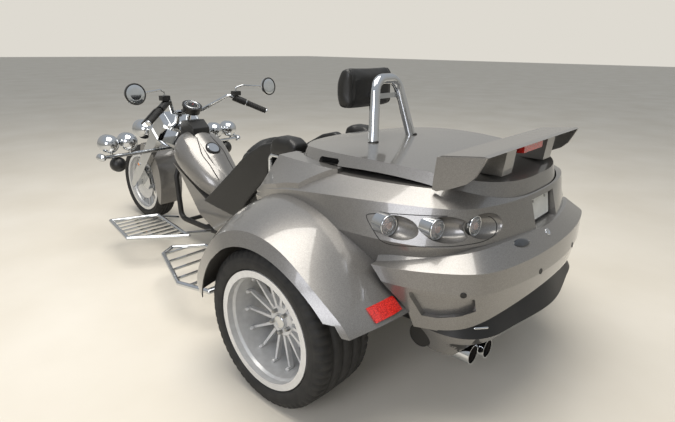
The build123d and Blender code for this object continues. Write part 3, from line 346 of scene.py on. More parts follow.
def ring_tree(name, material):
    """Nodes that set a headed fastener on each point of a circle round the X axis."""
    tree = bpy.data.node_groups.new(name, "GeometryNodeTree")
    for label, kind in (("Count", "NodeSocketInt"), ("Ring Radius", "NodeSocketFloat"),
                        ("Head Radius", "NodeSocketFloat"), ("Head Height", "NodeSocketFloat"),
                        ("Sides", "NodeSocketInt"), ("Place", "NodeSocketVector"),
                        ("Turn", "NodeSocketVector")):
        tree.interface.new_socket(label, in_out="INPUT", socket_type=kind)
    tree.interface.new_socket("Geometry", in_out="OUTPUT", socket_type="NodeSocketGeometry")
    given = tree.nodes.new("NodeGroupInput").outputs
    circle = add(tree, "GeometryNodeMeshCircle", {"Vertices": given["Count"], "Radius": given["Ring Radius"]})
    wide, tall = given["Head Radius"], given["Head Height"]
    neck = add(tree, "GeometryNodeMeshCone", {"Vertices": given["Sides"], "Radius Top": wide,
                                              "Radius Bottom": wide, "Depth": tall})
    small = add(tree, "ShaderNodeMath", {0: wide, 1: 0.7}, operation="MULTIPLY").outputs["Value"]
    low = add(tree, "ShaderNodeMath", {0: tall, 1: 0.25}, operation="MULTIPLY").outputs["Value"]
    cap = add(tree, "GeometryNodeMeshCone", {"Vertices": given["Sides"], "Radius Top": small,
                                             "Radius Bottom": wide, "Depth": low})
    lift = add(tree, "ShaderNodeCombineXYZ", {"Z": tall}).outputs["Vector"]
    cap_up = add(tree, "GeometryNodeTransform", {"Geometry": cap.outputs["Mesh"], "Translation": lift})
    head = add(tree, "GeometryNodeJoinGeometry")
    tree.links.new(neck.outputs["Mesh"], head.inputs[0])
    tree.links.new(cap_up.outputs["Geometry"], head.inputs[0])
    circle_turned = add(tree, "GeometryNodeTransform", {"Geometry": circle.outputs["Mesh"],
                                                        "Rotation": given["Turn"]})
    spread = add(tree, "GeometryNodeInstanceOnPoints", {"Points": circle_turned.outputs["Geometry"],
                                                        "Instance": head.outputs["Geometry"]})
    turned = add(tree, "GeometryNodeTransform", {"Geometry": spread.outputs["Instances"],
                                                 "Rotation": (0, pi / 2, 0), "Translation": given["Place"]})
    real = add(tree, "GeometryNodeRealizeInstances", {"Geometry": turned.outputs["Geometry"]})
    painted = add(tree, "GeometryNodeSetMaterial", {"Geometry": real.outputs["Geometry"], "Material": material})
    out = tree.nodes.new("NodeGroupOutput")
    tree.links.new(painted.outputs["Geometry"], out.inputs[0])
    return tree


def grown(name, tree, values, body):
    """Runs a node tree with its named inputs and keeps the result as a plain mesh piece."""
    holder = bpy.data.objects.new(name + "_maker", bpy.data.meshes.new(name + "_maker"))
    bpy.context.scene.collection.objects.link(holder)
    modifier = holder.modifiers.new("make", "NODES")
    modifier.node_group = tree
    for item in tree.interface.items_tree:
        if item.in_out == "INPUT" and item.name in values:
            modifier[item.identifier] = values[item.name]
    bpy.context.view_layer.update()
    ready = holder.evaluated_get(bpy.context.evaluated_depsgraph_get())
    mesh = bpy.data.meshes.new_from_object(ready)
    holder.modifiers.remove(modifier)
    bpy.data.objects.remove(holder)
    mesh.name = name
    item = bpy.data.objects.new(name, mesh)
    bpy.context.scene.collection.objects.link(item)
    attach(item, body)
    return item


nut_ring = ring_tree("nut_ring", plated)
rivet_ring = ring_tree("rivet_ring", front_alloy)
# columns: side, its sign on the X axis
both_sides = (("left", 1), ("right", -1))


def rim_spot(side, way, inward):
    """A place on a rear wheel's axis, inward metres from its rim's outer face."""
    low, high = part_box(f"rear_{side}_rim")
    spot = (low + high) / 2
    spot.x = (high.x if way > 0 else low.x) - way * inward
    return spot


# columns: name, nodes, count, ring radius, head radius, head height, sides, turn, distance in from the face
for name, ring, count, radius, head, height, corners, turn, inward in (
        ("wheel_nuts", nut_ring, 5, 0.048, 0.0095, 0.016, 6, 0, 0.104),
        ("spoke_rivets", rivet_ring, 15, 0.2075, 0.0085, 0.022, 10, radians(12), 0.114)):
    for side, way in both_sides:
        grown(f"rear_{side}_{name}", ring,
              {"Count": count, "Ring Radius": radius, "Head Radius": head, "Head Height": height,
               "Sides": corners, "Place": tuple(rim_spot(side, way, inward)), "Turn": (0, 0, turn)},
              f"rear_{side}_wheel")


# Hub caps: small domed covers of chromed steel, left blank.
# Each is pressed into the mouth of a rear hub.
def lathe(rings, middle, axis, turns=48):
    """A closed turned shape about an axis through middle, from rings as (along, radius) in metres."""
    axis = Vector(axis).normalized()
    across = axis.orthogonal().normalized()
    other = axis.cross(across)
    points, faces = [], []
    for along, radius in rings:
        for i in range(turns):
            angle = 2 * pi * i / turns
            points.append(middle + axis * along + (across * cos(angle) + other * sin(angle)) * radius)
    for j in range(len(rings) - 1):
        for i in range(turns):
            k = (i + 1) % turns
            faces.append((j * turns + i, j * turns + k, (j + 1) * turns + k, (j + 1) * turns + i))
    start, end = len(points), len(points) + 1
    points += [middle + axis * rings[0][0], middle + axis * rings[-1][0]]
    last = (len(rings) - 1) * turns
    for i in range(turns):
        k = (i + 1) % turns
        faces.append((start, k, i))
        faces.append((end, last + i, last + k))
    return points, faces


cap_inward = 0.0960
for side, way in both_sides:
    keep(f"rear_{side}_hub_cap",
         lathe([(-0.004, 0.020), (-0.002, 0.0285), (0.002, 0.0290), (0.005, 0.0275), (0.0065, 0.024),
                (0.0060, 0.0225), (0.0080, 0.016), (0.0085, 0.006)], rim_spot(side, way, cap_inward),
               (way, 0, 0)), chrome, f"rear_{side}_wheel")

# Upholstery: black synthetic leather with a pressed grain, over foam on the moulded seat.
# The cushions are stuffed by a short cloth run on an even copy of their own surface.
leather, tree, place, shader = new_material("black_synthetic_leather")
cells = add(tree, "ShaderNodeTexVoronoi", {"Vector": place, "Scale": 330.0}, feature="F1").outputs["Distance"]
creases = add(tree, "ShaderNodeTexNoise", {"Vector": place, "Scale": 26.0, "Detail": 5.0}).outputs["Fac"]
wear = add(tree, "ShaderNodeTexNoise", {"Vector": place, "Scale": 7.0, "Detail": 4.0}).outputs["Fac"]
tone = two_tones(tree, wear, 0.35, 0.8, "#131312", "#242321")
fine = add(tree, "ShaderNodeBump", {"Strength": 0.35, "Distance": 0.0007, "Height": cells})
soft = add(tree, "ShaderNodeBump", {"Strength": 0.12, "Distance": 0.0012, "Height": creases,
                                    "Normal": fine.outputs["Normal"]})
shine = add(tree, "ShaderNodeMapRange", {"Value": wear, "From Min": 0.3, "From Max": 0.8, "To Min": 0.36,
                                         "To Max": 0.5})
feed(shader, {"Base Color": tone, "Roughness": shine.outputs["Result"], "Normal": soft.outputs["Normal"]})


def baked(item):
    """Puts what an object's modifiers make into its own mesh and takes them off."""
    ready = item.evaluated_get(bpy.context.evaluated_depsgraph_get())
    mesh = bpy.data.meshes.new_from_object(ready)
    item.modifiers.clear()
    old = item.data
    item.data = mesh
    bpy.data.meshes.remove(old)
    mesh.name = item.name


def even_copy(name, node, voxel, inset, passes, body):
    """A closed, evenly squared and softened copy of a node's surface, drawn in by inset metres."""
    made = bmesh.new()
    made.from_mesh(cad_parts[node].data)
    bmesh.ops.remove_doubles(made, verts=made.verts, dist=0.00002)
    item = keep(name, made, leather, body)
    squares = item.modifiers.new("squares", "REMESH")
    squares.mode = "VOXEL"
    squares.voxel_size = voxel
    squares.use_smooth_shade = True
    rounding = item.modifiers.new("rounding", "SMOOTH")
    rounding.factor = 0.5
    rounding.iterations = passes
    draw_in = item.modifiers.new("draw_in", "DISPLACE")
    draw_in.mid_level = 0.0
    draw_in.strength = -inset
    baked(item)
    return item


def stuff(item, pressure, cap, last_step=20, calm_passes=24):
    """Blows a piece up as a stuffed cushion and holds each point within cap of its start."""
    start = [vertex.co.copy() for vertex in item.data.vertices]
    cloth = item.modifiers.new("stuffing", "CLOTH")
    cloth.settings.use_pressure = True
    cloth.settings.uniform_pressure_force = pressure
    cloth.settings.effector_weights.gravity = 0
    cloth.settings.quality = 4
    cloth.point_cache.frame_start = 1
    cloth.point_cache.frame_end = last_step
    for step in range(1, last_step + 1):
        bpy.context.scene.frame_set(step)
    ready = item.evaluated_get(bpy.context.evaluated_depsgraph_get())
    blown = [vertex.co.copy() for vertex in ready.data.vertices]
    item.modifiers.remove(cloth)
    bpy.context.scene.frame_set(1)
    for vertex, home, away in zip(item.data.vertices, start, blown):
        shift = away - home
        if shift.length > cap:
            shift *= cap / shift.length
        vertex.co = home + shift
    calm = item.modifiers.new("calm", "SMOOTH")
    calm.factor = 0.5
    calm.iterations = calm_passes
    baked(item)


def sew(item, distance, width, depth):
    """Presses a sewn groove into the cover where distance(point) is near nought."""
    item.data.update()
    normals = [vertex.normal.copy() for vertex in item.data.vertices]
    for vertex, normal in zip(item.data.vertices, normals):
        share = abs(distance(vertex.co)) / width
        if share < 1:
            vertex.co -= normal * depth * (1 - share * share) ** 2


def finer(item):
    """One level of subdivision, kept in the mesh."""
    smooth = item.modifiers.new("finer", "SUBSURF")
    smooth.levels = 1
    smooth.render_levels = 1
    baked(item)


seam_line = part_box("seat_shell")[1].x - 0.030
shell_piece = even_copy("seat_cover", "seat_shell", 0.0065, 0.0, 26, "chassis")
sew(shell_piece, lambda p: abs(p.x) - seam_line, 0.009, 0.0030)
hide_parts("seat_shell")

# columns: name, node, body, square size, drawn in, softening, pressure, furthest swell,
#          seam inset from each side (0 for none), fill
for name, node, body, voxel, inset, passes, pressure, cap, edge_seam, fill in (
        ("rider_seat_cushion", "rider_cushion", "chassis", 0.006, 0.005, 10, 3.0, 0.007, 0.034, 0.8),
        ("rider_back_cushion", "rider_backrest", "chassis", 0.0065, 0.005, 16, 2.5, 0.006, 0.040, 0.8),
        ("passenger_seat_cushion", "passenger_cushion", "chassis", 0.0065, 0.005, 14, 3.0, 0.007, 0.045, 0.8),
        ("armrest_cushions", "armrest_pads", "chassis", 0.0045, 0.002, 10, 2.0, 0.004, 0.0, 0.9),
        ("passenger_back_cushion", "back_pad", "trunk_lid_body", 0.006, 0.003, 26, 2.0, 0.005, 0.030, 0.9)):
    low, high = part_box(node)
    pad = even_copy(name, node, voxel, inset, passes, body)
    stuff(pad, pressure, cap)
    if edge_seam:
        side = (high.x - low.x) / 2 - edge_seam
        sew(pad, lambda p, side=side: abs(p.x) - side, 0.008, 0.0035)
    finer(pad)
    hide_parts(node)


# Mirrors: round glasses in chromed shells with a black rubber rim, on bent chrome arms.
# Each glass is pressed in from behind the shell and kept by the rim.
dress(chrome, "mirrors")
silvered, tree, place, shader = new_material("silvered_mirror_glass")
film = add(tree, "ShaderNodeTexNoise", {"Vector": place, "Scale": 35.0, "Detail": 3.0}).outputs["Fac"]
tone = two_tones(tree, film, 0.3, 0.8, "#d2d8dc", "#dfe3e6")
gloss = add(tree, "ShaderNodeMapRange", {"Value": film, "To Min": 0.02, "To Max": 0.08})
feed(shader, {"Base Color": tone, "Metallic": 1.0, "Roughness": gloss.outputs["Result"]})
for side, way in both_sides:
    facing = Vector((way * 0.05, 0.98, 0.12)).normalized()
    middle = at(way * 513, -1533, 1109)
    keep(f"{side}_mirror_glass",
         lathe([(-0.0045, 0.0545), (-0.0035, 0.0552), (-0.0028, 0.0540), (-0.0022, 0.0300)], middle, facing),
         silvered, "steering")
    keep(f"{side}_mirror_rim",
         lathe([(-0.012, 0.0626), (-0.004, 0.0634), (-0.001, 0.0620), (-0.0008, 0.0580), (-0.0022, 0.0545),
                (-0.0030, 0.0543), (-0.0032, 0.0575), (-0.006, 0.0615)], middle, facing), rubber, "steering")

# Tail lamps: clear moulded lenses over chromed bowls, each held by a thin chromed bezel ring.
# Three stand in scoops of each rear corner, facing back; the bulb shows as a small bright tip.
dress(chrome, "side_lamps")
clear, tree, place, shader = new_material("clear_polycarbonate_lens")
prisms = add(tree, "ShaderNodeTexVoronoi", {"Vector": place, "Scale": 130.0}, feature="F1").outputs["Distance"]
bump = add(tree, "ShaderNodeBump", {"Strength": 0.6, "Distance": 0.003, "Height": prisms})
haze = two_tones(tree, prisms, 0.2, 0.7, "#f4f6f6", "#dfe4e6")
feed(shader, {"Base Color": haze, "Roughness": 0.06, "IOR": 1.45,
              "Transmission Weight": 0.85, "Normal": bump.outputs["Normal"]})
bulb_glass, tree, place, shader = new_material("frosted_bulb_glass")
frost = add(tree, "ShaderNodeTexNoise", {"Vector": place, "Scale": 500.0, "Detail": 2.0}).outputs["Fac"]
tone = two_tones(tree, frost, 0.3, 0.7, "#c98c7c", "#e6d5cc")
feed(shader, {"Base Color": tone, "Roughness": 0.4})
# columns: across, y and height of the left lens's face in millimetres, heading from straight back in degrees
tail_lamp_rows = ((596.8, 386.1, 796.0, 12), (521.4, 534.0, 800.0, 8), (409.2, 617.0, 804.0, 4))
for side, way in both_sides:
    for number, (x, y, z, toe) in enumerate(tail_lamp_rows, 1):
        facing = Vector((way * sin(radians(toe)), cos(radians(toe)), 0))
        face = at(way * x, y, z)
        keep(f"{side}_tail_bezel_{number}",
             lathe([(-0.004, 0.0384), (0.0015, 0.0388), (0.0034, 0.0372), (0.0030, 0.0335), (0.0004, 0.0322),
                    (0.0002, 0.0330)], face, facing), chrome, "chassis")
        keep(f"{side}_tail_bulb_{number}",
             lathe([(0.0001, 0.013), (0.0018, 0.0115), (0.0026, 0.006), (0.0028, 0.002)], face, facing, 20),
             bulb_glass, "chassis")
        keep(f"{side}_tail_lens_{number}",
             lathe([(0.0004, 0.0330), (0.0032, 0.0326), (0.0060, 0.0260), (0.0075, 0.0160), (0.0080, 0.0060)],
                   face, facing), clear, "chassis")

# Red reflectors under the rear fenders and the brake lamp on the spoiler: moulded red acrylic.
# Fine prisms are moulded into the back of each; the reflectors are the lower solids of the side lamps.
red_acrylic, tree, place, shader = new_material("red_acrylic")
prisms = add(tree, "ShaderNodeTexVoronoi", {"Vector": place, "Scale": 210.0}, feature="F1").outputs["Distance"]
tone = two_tones(tree, prisms, 0.1, 0.7, "#e8352a", "#a3140f")
bump = add(tree, "ShaderNodeBump", {"Strength": 0.4, "Distance": 0.001, "Height": prisms})
feed(shader, {"Base Color": tone, "Roughness": 0.14, "Coat Weight": 1.0, "Normal": bump.outputs["Normal"]})
dress(red_acrylic, "brake_lamp")
lamp_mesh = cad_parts["side_lamps"].data
lamp_mesh.materials.append(red_acrylic)
reflector_top = at(0, 0, 650).z
lamp_mesh.polygons.foreach_set("material_index", [
    int(sum(lamp_mesh.vertices[i].co.z for i in face.vertices) / len(face.vertices) < reflector_top)
    for face in lamp_mesh.polygons])

# Front lamps: headlight, four auxiliary lamps and two indicators, all facing ahead on the fork.
# Fluted glass fills each chromed shell to its lip; the indicators are amber.
amber, tree, place, shader = new_material("amber_acrylic")
flutes = add(tree, "ShaderNodeTexWave", {"Vector": place, "Scale": 60.0}, bands_direction="X").outputs["Fac"]
tone = two_tones(tree, flutes, 0.2, 0.8, "#c9660a", "#e58a1c")
bump = add(tree, "ShaderNodeBump", {"Strength": 0.4, "Distance": 0.001, "Height": flutes})
feed(shader, {"Base Color": tone, "Roughness": 0.12, "Coat Weight": 1.0, "Normal": bump.outputs["Normal"]})
fluted, tree, place, shader = new_material("fluted_lamp_glass")
flutes = add(tree, "ShaderNodeTexWave", {"Vector": place, "Scale": 42.0}, bands_direction="X").outputs["Fac"]
tone = two_tones(tree, flutes, 0.2, 0.8, "#dfe5e8", "#f2f5f6")
bump = add(tree, "ShaderNodeBump", {"Strength": 0.8, "Distance": 0.002, "Height": flutes})
feed(shader, {"Base Color": tone, "Roughness": 0.05, "IOR": 1.5,
              "Transmission Weight": 0.6, "Normal": bump.outputs["Normal"]})
# columns: name, across, y and height in millimetres, radius and crown in metres, material
for name, x, y, z, radius, crown, finish in (
        ("headlight_glass", 0, -2550, 738, 0.073, 0.011, fluted),
        ("left_inner_lamp_glass", 360, -2077.8, 740.2, 0.061, 0.008, fluted),
        ("left_outer_lamp_glass", 492, -2077.8, 740.2, 0.061, 0.008, fluted),
        ("right_inner_lamp_glass", -360, -2077.8, 740.2, 0.061, 0.008, fluted),
        ("right_outer_lamp_glass", -492, -2077.8, 740.2, 0.061, 0.008, fluted),
        ("left_indicator_lens", 560, -2049.8, 658, 0.0245, 0.007, amber),
        ("right_indicator_lens", -560, -2049.8, 658, 0.0245, 0.007, amber)):
    keep(name, lathe([(-0.001, radius), (0.0015, radius * 0.985), (crown * 0.6, radius * 0.72),
                      (crown * 0.9, radius * 0.4), (crown, radius * 0.1)], at(x, y, z), (0, -1, 0)),
         finish, "steering")

# Horns: pressed steel trumpets with a ribbed black grille across each mouth.
# The grille rings are clipped to the mouth's rim.
grille_rings, grille_radius, ring_pitch = 6, 0.050, 0.008
for side, way in both_sides:
    rings = []
    for step in range(grille_rings):
        radius = grille_radius - step * ring_pitch
        rings += [(0.0005, radius), (0.003, radius - 0.001), (0.003, radius - 0.0035), (0.0005, radius - 0.005)]
    keep(f"{side}_horn_grille", lathe(rings, at(way * 448, -2055.8, 593), (0, -1, 0)), powder, "steering")


# Panel joint lines: thin dark rubber beads laid on the paint round the lamp panel and the tank's
# centre panel. Each bead is pressed down on the surface below it.
def skin(node):
    """A CAD node's surface, to find places on it."""
    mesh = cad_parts[node].data
    return BVHTree.FromPolygons([vertex.co.copy() for vertex in mesh.vertices],
                                [tuple(face.vertices) for face in mesh.polygons])


def curve_through(points, closed, steps=6):
    """Places along a smooth line through the given points."""
    count = len(points)
    found = []
    for i in range(count if closed else count - 1):
        if closed:
            a, b, c, d = (points[(i + k) % count] for k in (-1, 0, 1, 2))
        else:
            a, b, c, d = (points[min(max(i + k, 0), count - 1)] for k in (-1, 0, 1, 2))
        for j in range(steps):
            t = j / steps
            found.append(0.5 * (2 * b + (c - a) * t + (2 * a - 5 * b + 4 * c - d) * t * t
                                + (3 * b - a - 3 * c + d) * t ** 3))
    if not closed:
        found.append(points[-1].copy())
    return found


def bead(name, surface, points, width, rise, material, body, closed):
    """A thin strip that follows a surface along a line of places."""
    line = curve_through(points, closed)
    spots = [surface.find_nearest(place)[:2] for place in line]
    count = len(spots)
    made, faces = [], []
    for i, (spot, normal) in enumerate(spots):
        if closed:
            before, after = spots[i - 1][0], spots[(i + 1) % count][0]
        else:
            before, after = spots[max(i - 1, 0)][0], spots[min(i + 1, count - 1)][0]
        across = (after - before).cross(normal).normalized() * width / 2
        made += [spot + across - normal * 0.0006, spot + across * 0.8 + normal * rise,
                 spot - across * 0.8 + normal * rise, spot - across - normal * 0.0006]
    for i in range(count if closed else count - 1):
        k = (i + 1) % count
        for j in range(4):
            m = (j + 1) % 4
            faces.append((i * 4 + j, i * 4 + m, k * 4 + m, k * 4 + j))
    if not closed:
        faces += [(3, 2, 1, 0), tuple((count - 1) * 4 + j for j in range(4))]
    return keep(name, (made, faces), material, body, smooth=False)


# columns: across, y, height in millimetres on the left side
lamp_panel = ((604, 291, 806), (598, 303, 820), (575, 379, 833), (542, 466, 840),
              (495, 553, 846), (380, 605, 838), (336, 634, 824), (318, 654, 797),
              (342, 662, 768), (399, 651, 754), (469, 615, 750), (515, 574, 746),
              (567, 491, 738), (593, 405, 728), (607, 363, 736), (608, 326, 767))
body_skin = skin("rear_body")
for side, way in both_sides:
    bead(f"{side}_lamp_panel_joint", body_skin, [at(way * x, y, z) for x, y, z in lamp_panel], 0.0036, 0.0005,
         rubber, "chassis", True)
tank_skin = skin("tank_body")
tank_line = ((54, -1650, 781), (72, -1600, 736), (88, -1545, 680), (80, -1482, 627),
             (77, -1427, 570), (70, -1391, 528))
for side, way in both_sides:
    bead(f"{side}_tank_joint", tank_skin, [at(way * x, y, z) for x, y, z in tank_line], 0.0075, 0.0012, rubber,
         "chassis", False)

# Fuel cap: a chromed screw cap on a black rubber collar.
# Its knurled edge is moulded; the top stays blank.
cap_low, cap_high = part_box("fuel_cap")
cap_seat, cap_way = tank_skin.find_nearest((cap_low + cap_high) / 2)[:2]
keep("fuel_cap_collar", lathe([(0.0, 0.052), (0.004, 0.0515), (0.009, 0.047), (0.012, 0.0445), (0.012, 0.043),
                               (0.002, 0.043)], cap_seat, cap_way), rubber, "chassis")

# Instrument: a round dial under glass in a chromed ring on the moulded pod.
# The dial is black with pale scale marks and a red hand, without figures.
dial_paint, tree, place, shader = new_material("printed_dial_face")
dial_middle = at(0, -1772, 968)
dial_way = Vector((0, 0.42, 0.91)).normalized()
dial_across = Vector((1, 0, 0))
dial_up = dial_way.cross(dial_across)
centred = add(tree, "ShaderNodeVectorMath", {0: place, 1: tuple(dial_middle)},
              operation="SUBTRACT").outputs["Vector"]
side_way = add(tree, "ShaderNodeVectorMath", {0: centred, 1: tuple(dial_across)},
               operation="DOT_PRODUCT").outputs["Value"]
up_way = add(tree, "ShaderNodeVectorMath", {0: centred, 1: tuple(dial_up)},
             operation="DOT_PRODUCT").outputs["Value"]
turn = add(tree, "ShaderNodeMath", {0: side_way, 1: up_way}, operation="ARCTAN2").outputs["Value"]
marks_round, marks_from, marks_to = 36, 0.034, 0.041
teeth = add(tree, "ShaderNodeMath", {0: turn, 1: marks_round / (2 * pi)}, operation="MULTIPLY").outputs["Value"]
tooth = add(tree, "ShaderNodeMath", {0: teeth}, operation="FRACT").outputs["Value"]
mark = add(tree, "ShaderNodeMath", {0: tooth, 1: 0.22}, operation="LESS_THAN").outputs["Value"]
flat_place = add(tree, "ShaderNodeCombineXYZ", {"X": side_way, "Y": up_way}).outputs["Vector"]
reach = add(tree, "ShaderNodeVectorMath", {0: flat_place}, operation="LENGTH").outputs["Value"]
outer = add(tree, "ShaderNodeMath", {0: reach, 1: marks_from}, operation="GREATER_THAN").outputs["Value"]
inner = add(tree, "ShaderNodeMath", {0: reach, 1: marks_to}, operation="LESS_THAN").outputs["Value"]
band = add(tree, "ShaderNodeMath", {0: outer, 1: inner}, operation="MULTIPLY").outputs["Value"]
marks = add(tree, "ShaderNodeMath", {0: band, 1: mark}, operation="MULTIPLY").outputs["Value"]
tone = two_tones(tree, marks, 0.2, 0.8, "#101112", "#e4e4df")
feed(shader, {"Base Color": tone, "Roughness": 0.5})
dial_top = dial_middle + dial_way * 0.0252
keep("instrument_dial", lathe([(0.0, 0.0475), (0.0008, 0.0475), (0.0010, 0.0460), (0.0010, 0.002)], dial_top,
                              dial_way, 64), dial_paint, "steering")
keep("instrument_ring", lathe([(-0.006, 0.0530), (0.001, 0.0540), (0.0045, 0.0525), (0.0050, 0.0495),
                               (0.0030, 0.0470), (0.0009, 0.0470)], dial_top, dial_way, 64), chrome, "steering")
hand_end = dial_top + (dial_up * -0.6 + dial_across * -0.8) * 0.036
hand_side = dial_way.cross(hand_end - dial_top).normalized() * 0.0012
lift = dial_way * 0.0016
keep("instrument_hand", ([dial_top + hand_side + lift, dial_top - hand_side + lift, hand_end + lift,
                          dial_top + hand_side + lift * 1.5, dial_top - hand_side + lift * 1.5,
                          hand_end + lift * 1.5],
                         [(0, 2, 1), (3, 4, 5), (0, 1, 4, 3), (1, 2, 5, 4), (2, 0, 3, 5)]), red_acrylic,
     "steering", smooth=False)

# Number plate: a blank pressed aluminium plate with a raised border, held by two screws.
# It lies on the black frame of the rear panel.
plate_paint, tree, place, shader = new_material("painted_plate_aluminium")
dirt = add(tree, "ShaderNodeTexNoise", {"Vector": place, "Scale": 24.0, "Detail": 6.0}).outputs["Fac"]
tone = two_tones(tree, dirt, 0.3, 0.8, "#d9dad6", "#c3c4bf")
feed(shader, {"Base Color": tone, "Roughness": 0.38})
frame_low, frame_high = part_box("plate_frame")
plate_foot = Vector((0, frame_high.y, frame_low.z))
plate_rise = Vector((0, frame_high.y - 0.018, frame_high.z)) - plate_foot
plate_height = plate_rise.length
plate_up = plate_rise.normalized()
plate_out = Vector((1, 0, 0)).cross(plate_up).normalized()
plate_out = plate_out if plate_out.y > 0 else -plate_out
plate_half, corner_steps = 0.108, 5
ring_count = 4 * corner_steps
plate_rings = []
# columns: inset from the plate's edge, height over the frame
for inset, out in ((0.010, 0.0002), (0.0095, 0.0022), (0.0125, 0.0030), (0.0150, 0.0016), (0.0600, 0.0016)):
    half, low_edge, high_edge = plate_half - inset, min(inset, 0.045), plate_height - min(inset, 0.045)
    corner = max(0.012 - inset * 0.4, 0.004)
    ring = []
    for cx, cz, start in ((half - corner, high_edge - corner, 0), (-half + corner, high_edge - corner, 1),
                          (-half + corner, low_edge + corner, 2), (half - corner, low_edge + corner, 3)):
        for step in range(corner_steps):
            angle = (start + step / (corner_steps - 1)) * pi / 2
            ring.append(plate_foot + Vector((cx + corner * cos(angle), 0, 0))
                        + plate_up * (cz + corner * sin(angle)) + plate_out * out)
    plate_rings.append(ring)
plate_points = [point for ring in plate_rings for point in ring]
plate_faces = []
for j in range(len(plate_rings) - 1):
    for i in range(ring_count):
        k = (i + 1) % ring_count
        plate_faces.append((j * ring_count + i, j * ring_count + k, (j + 1) * ring_count + k,
                            (j + 1) * ring_count + i))
plate_faces += [tuple(range(ring_count))[::-1], tuple(range(len(plate_points) - ring_count, len(plate_points)))]
plate_mesh = bmesh.new()
plate_spots = [plate_mesh.verts.new(point) for point in plate_points]
for face in plate_faces:
    plate_mesh.faces.new([plate_spots[i] for i in face])
bmesh.ops.recalc_face_normals(plate_mesh, faces=plate_mesh.faces)
keep("blank_plate", plate_mesh, plate_paint, "chassis", smooth=False)
for side, way in both_sides:
    screw = plate_foot + Vector((way * 0.060, 0, 0)) + plate_up * (plate_height - 0.020) + plate_out * 0.0014
    keep(f"{side}_plate_screw",
         lathe([(0, 0.0062), (0.0022, 0.0058), (0.0034, 0.0035), (0.0026, 0.0012)], screw, plate_out, 24),
         plated, "chassis")

# Bumper fittings: four flush parking sensors, the lock above the joint and a dark courtesy lens.
# The sensors are black plastic buttons pressed into drilled holes.
bumper_skin = skin("rear_bumper")
sensor_radius, sensor_rise = 0.0115, 0.0016
# columns: name, across, y, height in millimetres
for name, x, y, z in (("inner", 178, 786, 607), ("outer", 537, 662, 600)):
    for side, way in both_sides:
        spot, normal = bumper_skin.find_nearest(at(way * x, y, z))[:2]
        keep(f"{side}_{name}_sensor",
             lathe([(-0.0015, sensor_radius), (sensor_rise * 0.6, sensor_radius * 0.98),
                    (sensor_rise, sensor_radius * 0.86), (sensor_rise * 0.5, sensor_radius * 0.78),
                    (sensor_rise * 0.6, sensor_radius * 0.2)], spot, normal, 32), plastic, "chassis")
lock_spot, lock_way = bumper_skin.find_nearest(at(62, 752, 723))[:2]
keep("lid_lock", lathe([(-0.001, 0.0150), (0.0024, 0.0146), (0.0034, 0.0120), (0.0020, 0.0100),
                        (0.0024, 0.002)], lock_spot, lock_way, 32), chrome, "chassis")
lens_spot, lens_way = bumper_skin.find_nearest(at(250, 728, 725))[:2]
lens_points, lens_faces = lathe([(-0.001, 0.040), (0.0014, 0.0385), (0.0030, 0.0260), (0.0036, 0.006)],
                                lens_spot, lens_way, 40)
lens_across = Vector((0.93, -0.36, 0.0)).normalized()
lens_down = lens_way.cross(lens_across).normalized()
longer, narrower = 0.15, 0.55
lens_points = [point + lens_across * (point - lens_spot).dot(lens_across) * longer
               - lens_down * (point - lens_spot).dot(lens_down) * narrower for point in lens_points]
smoked, tree, place, shader = new_material("smoked_polycarbonate")
ripple = add(tree, "ShaderNodeTexNoise", {"Vector": place, "Scale": 60.0, "Detail": 2.0}).outputs["Fac"]
tone = two_tones(tree, ripple, 0.3, 0.8, "#1b1d20", "#2d3136")
feed(shader, {"Base Color": tone, "Roughness": 0.08, "Coat Weight": 1.0})
keep("courtesy_lens", (lens_points, lens_faces), smoked, "chassis")

# Diffuser: the blade's upper slope in bare black plastic, its edge and the fins in body colour.
# One moulding, masked and painted below the crease.
diffuser_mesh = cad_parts["rear_diffuser"].data
diffuser_mesh.materials.append(plastic)
crease = at(0, 0, 413).z
fins_from = at(0, 700, 0).y
diffuser_mesh.polygons.foreach_set("material_index", [
    int(min(diffuser_mesh.vertices[i].co.z for i in face.vertices) > crease
        or (face.normal.z < -0.5 and face.center.y < fins_from))
    for face in diffuser_mesh.polygons])

# Exhaust: soot inside each polished tail pipe, a thin burnt sleeve down to the baffle.
# The cross muffler ahead of the pipes is coated black; only the pipes are polished.
soot, tree, place, shader = new_material("burnt_soot")
burns = add(tree, "ShaderNodeTexNoise", {"Vector": place, "Scale": 40.0, "Detail": 5.0}).outputs["Fac"]
tone = two_tones(tree, burns, 0.35, 0.75, "#0d0c0b", "#2a211b")
feed(shader, {"Base Color": tone, "Roughness": 0.95})
exhaust_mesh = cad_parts["exhaust"].data
exhaust_mesh.materials.append(powder)
pipes_from = at(0, 555, 0).y
exhaust_mesh.polygons.foreach_set("material_index", [
    int(min(exhaust_mesh.vertices[i].co.y for i in face.vertices) < pipes_from)
    for face in exhaust_mesh.polygons])
for side, way in both_sides:
    for place_name, x, y in (("outer", 420, 668), ("inner", 346, 690)):
        keep(f"{side}_{place_name}_pipe_soot",
             lathe([(-0.0965, 0.0336), (-0.006, 0.0338), (-0.006, 0.0332), (-0.095, 0.0330)],
                   at(way * x, y, 312), (0, 1, 0)), soot, "chassis")

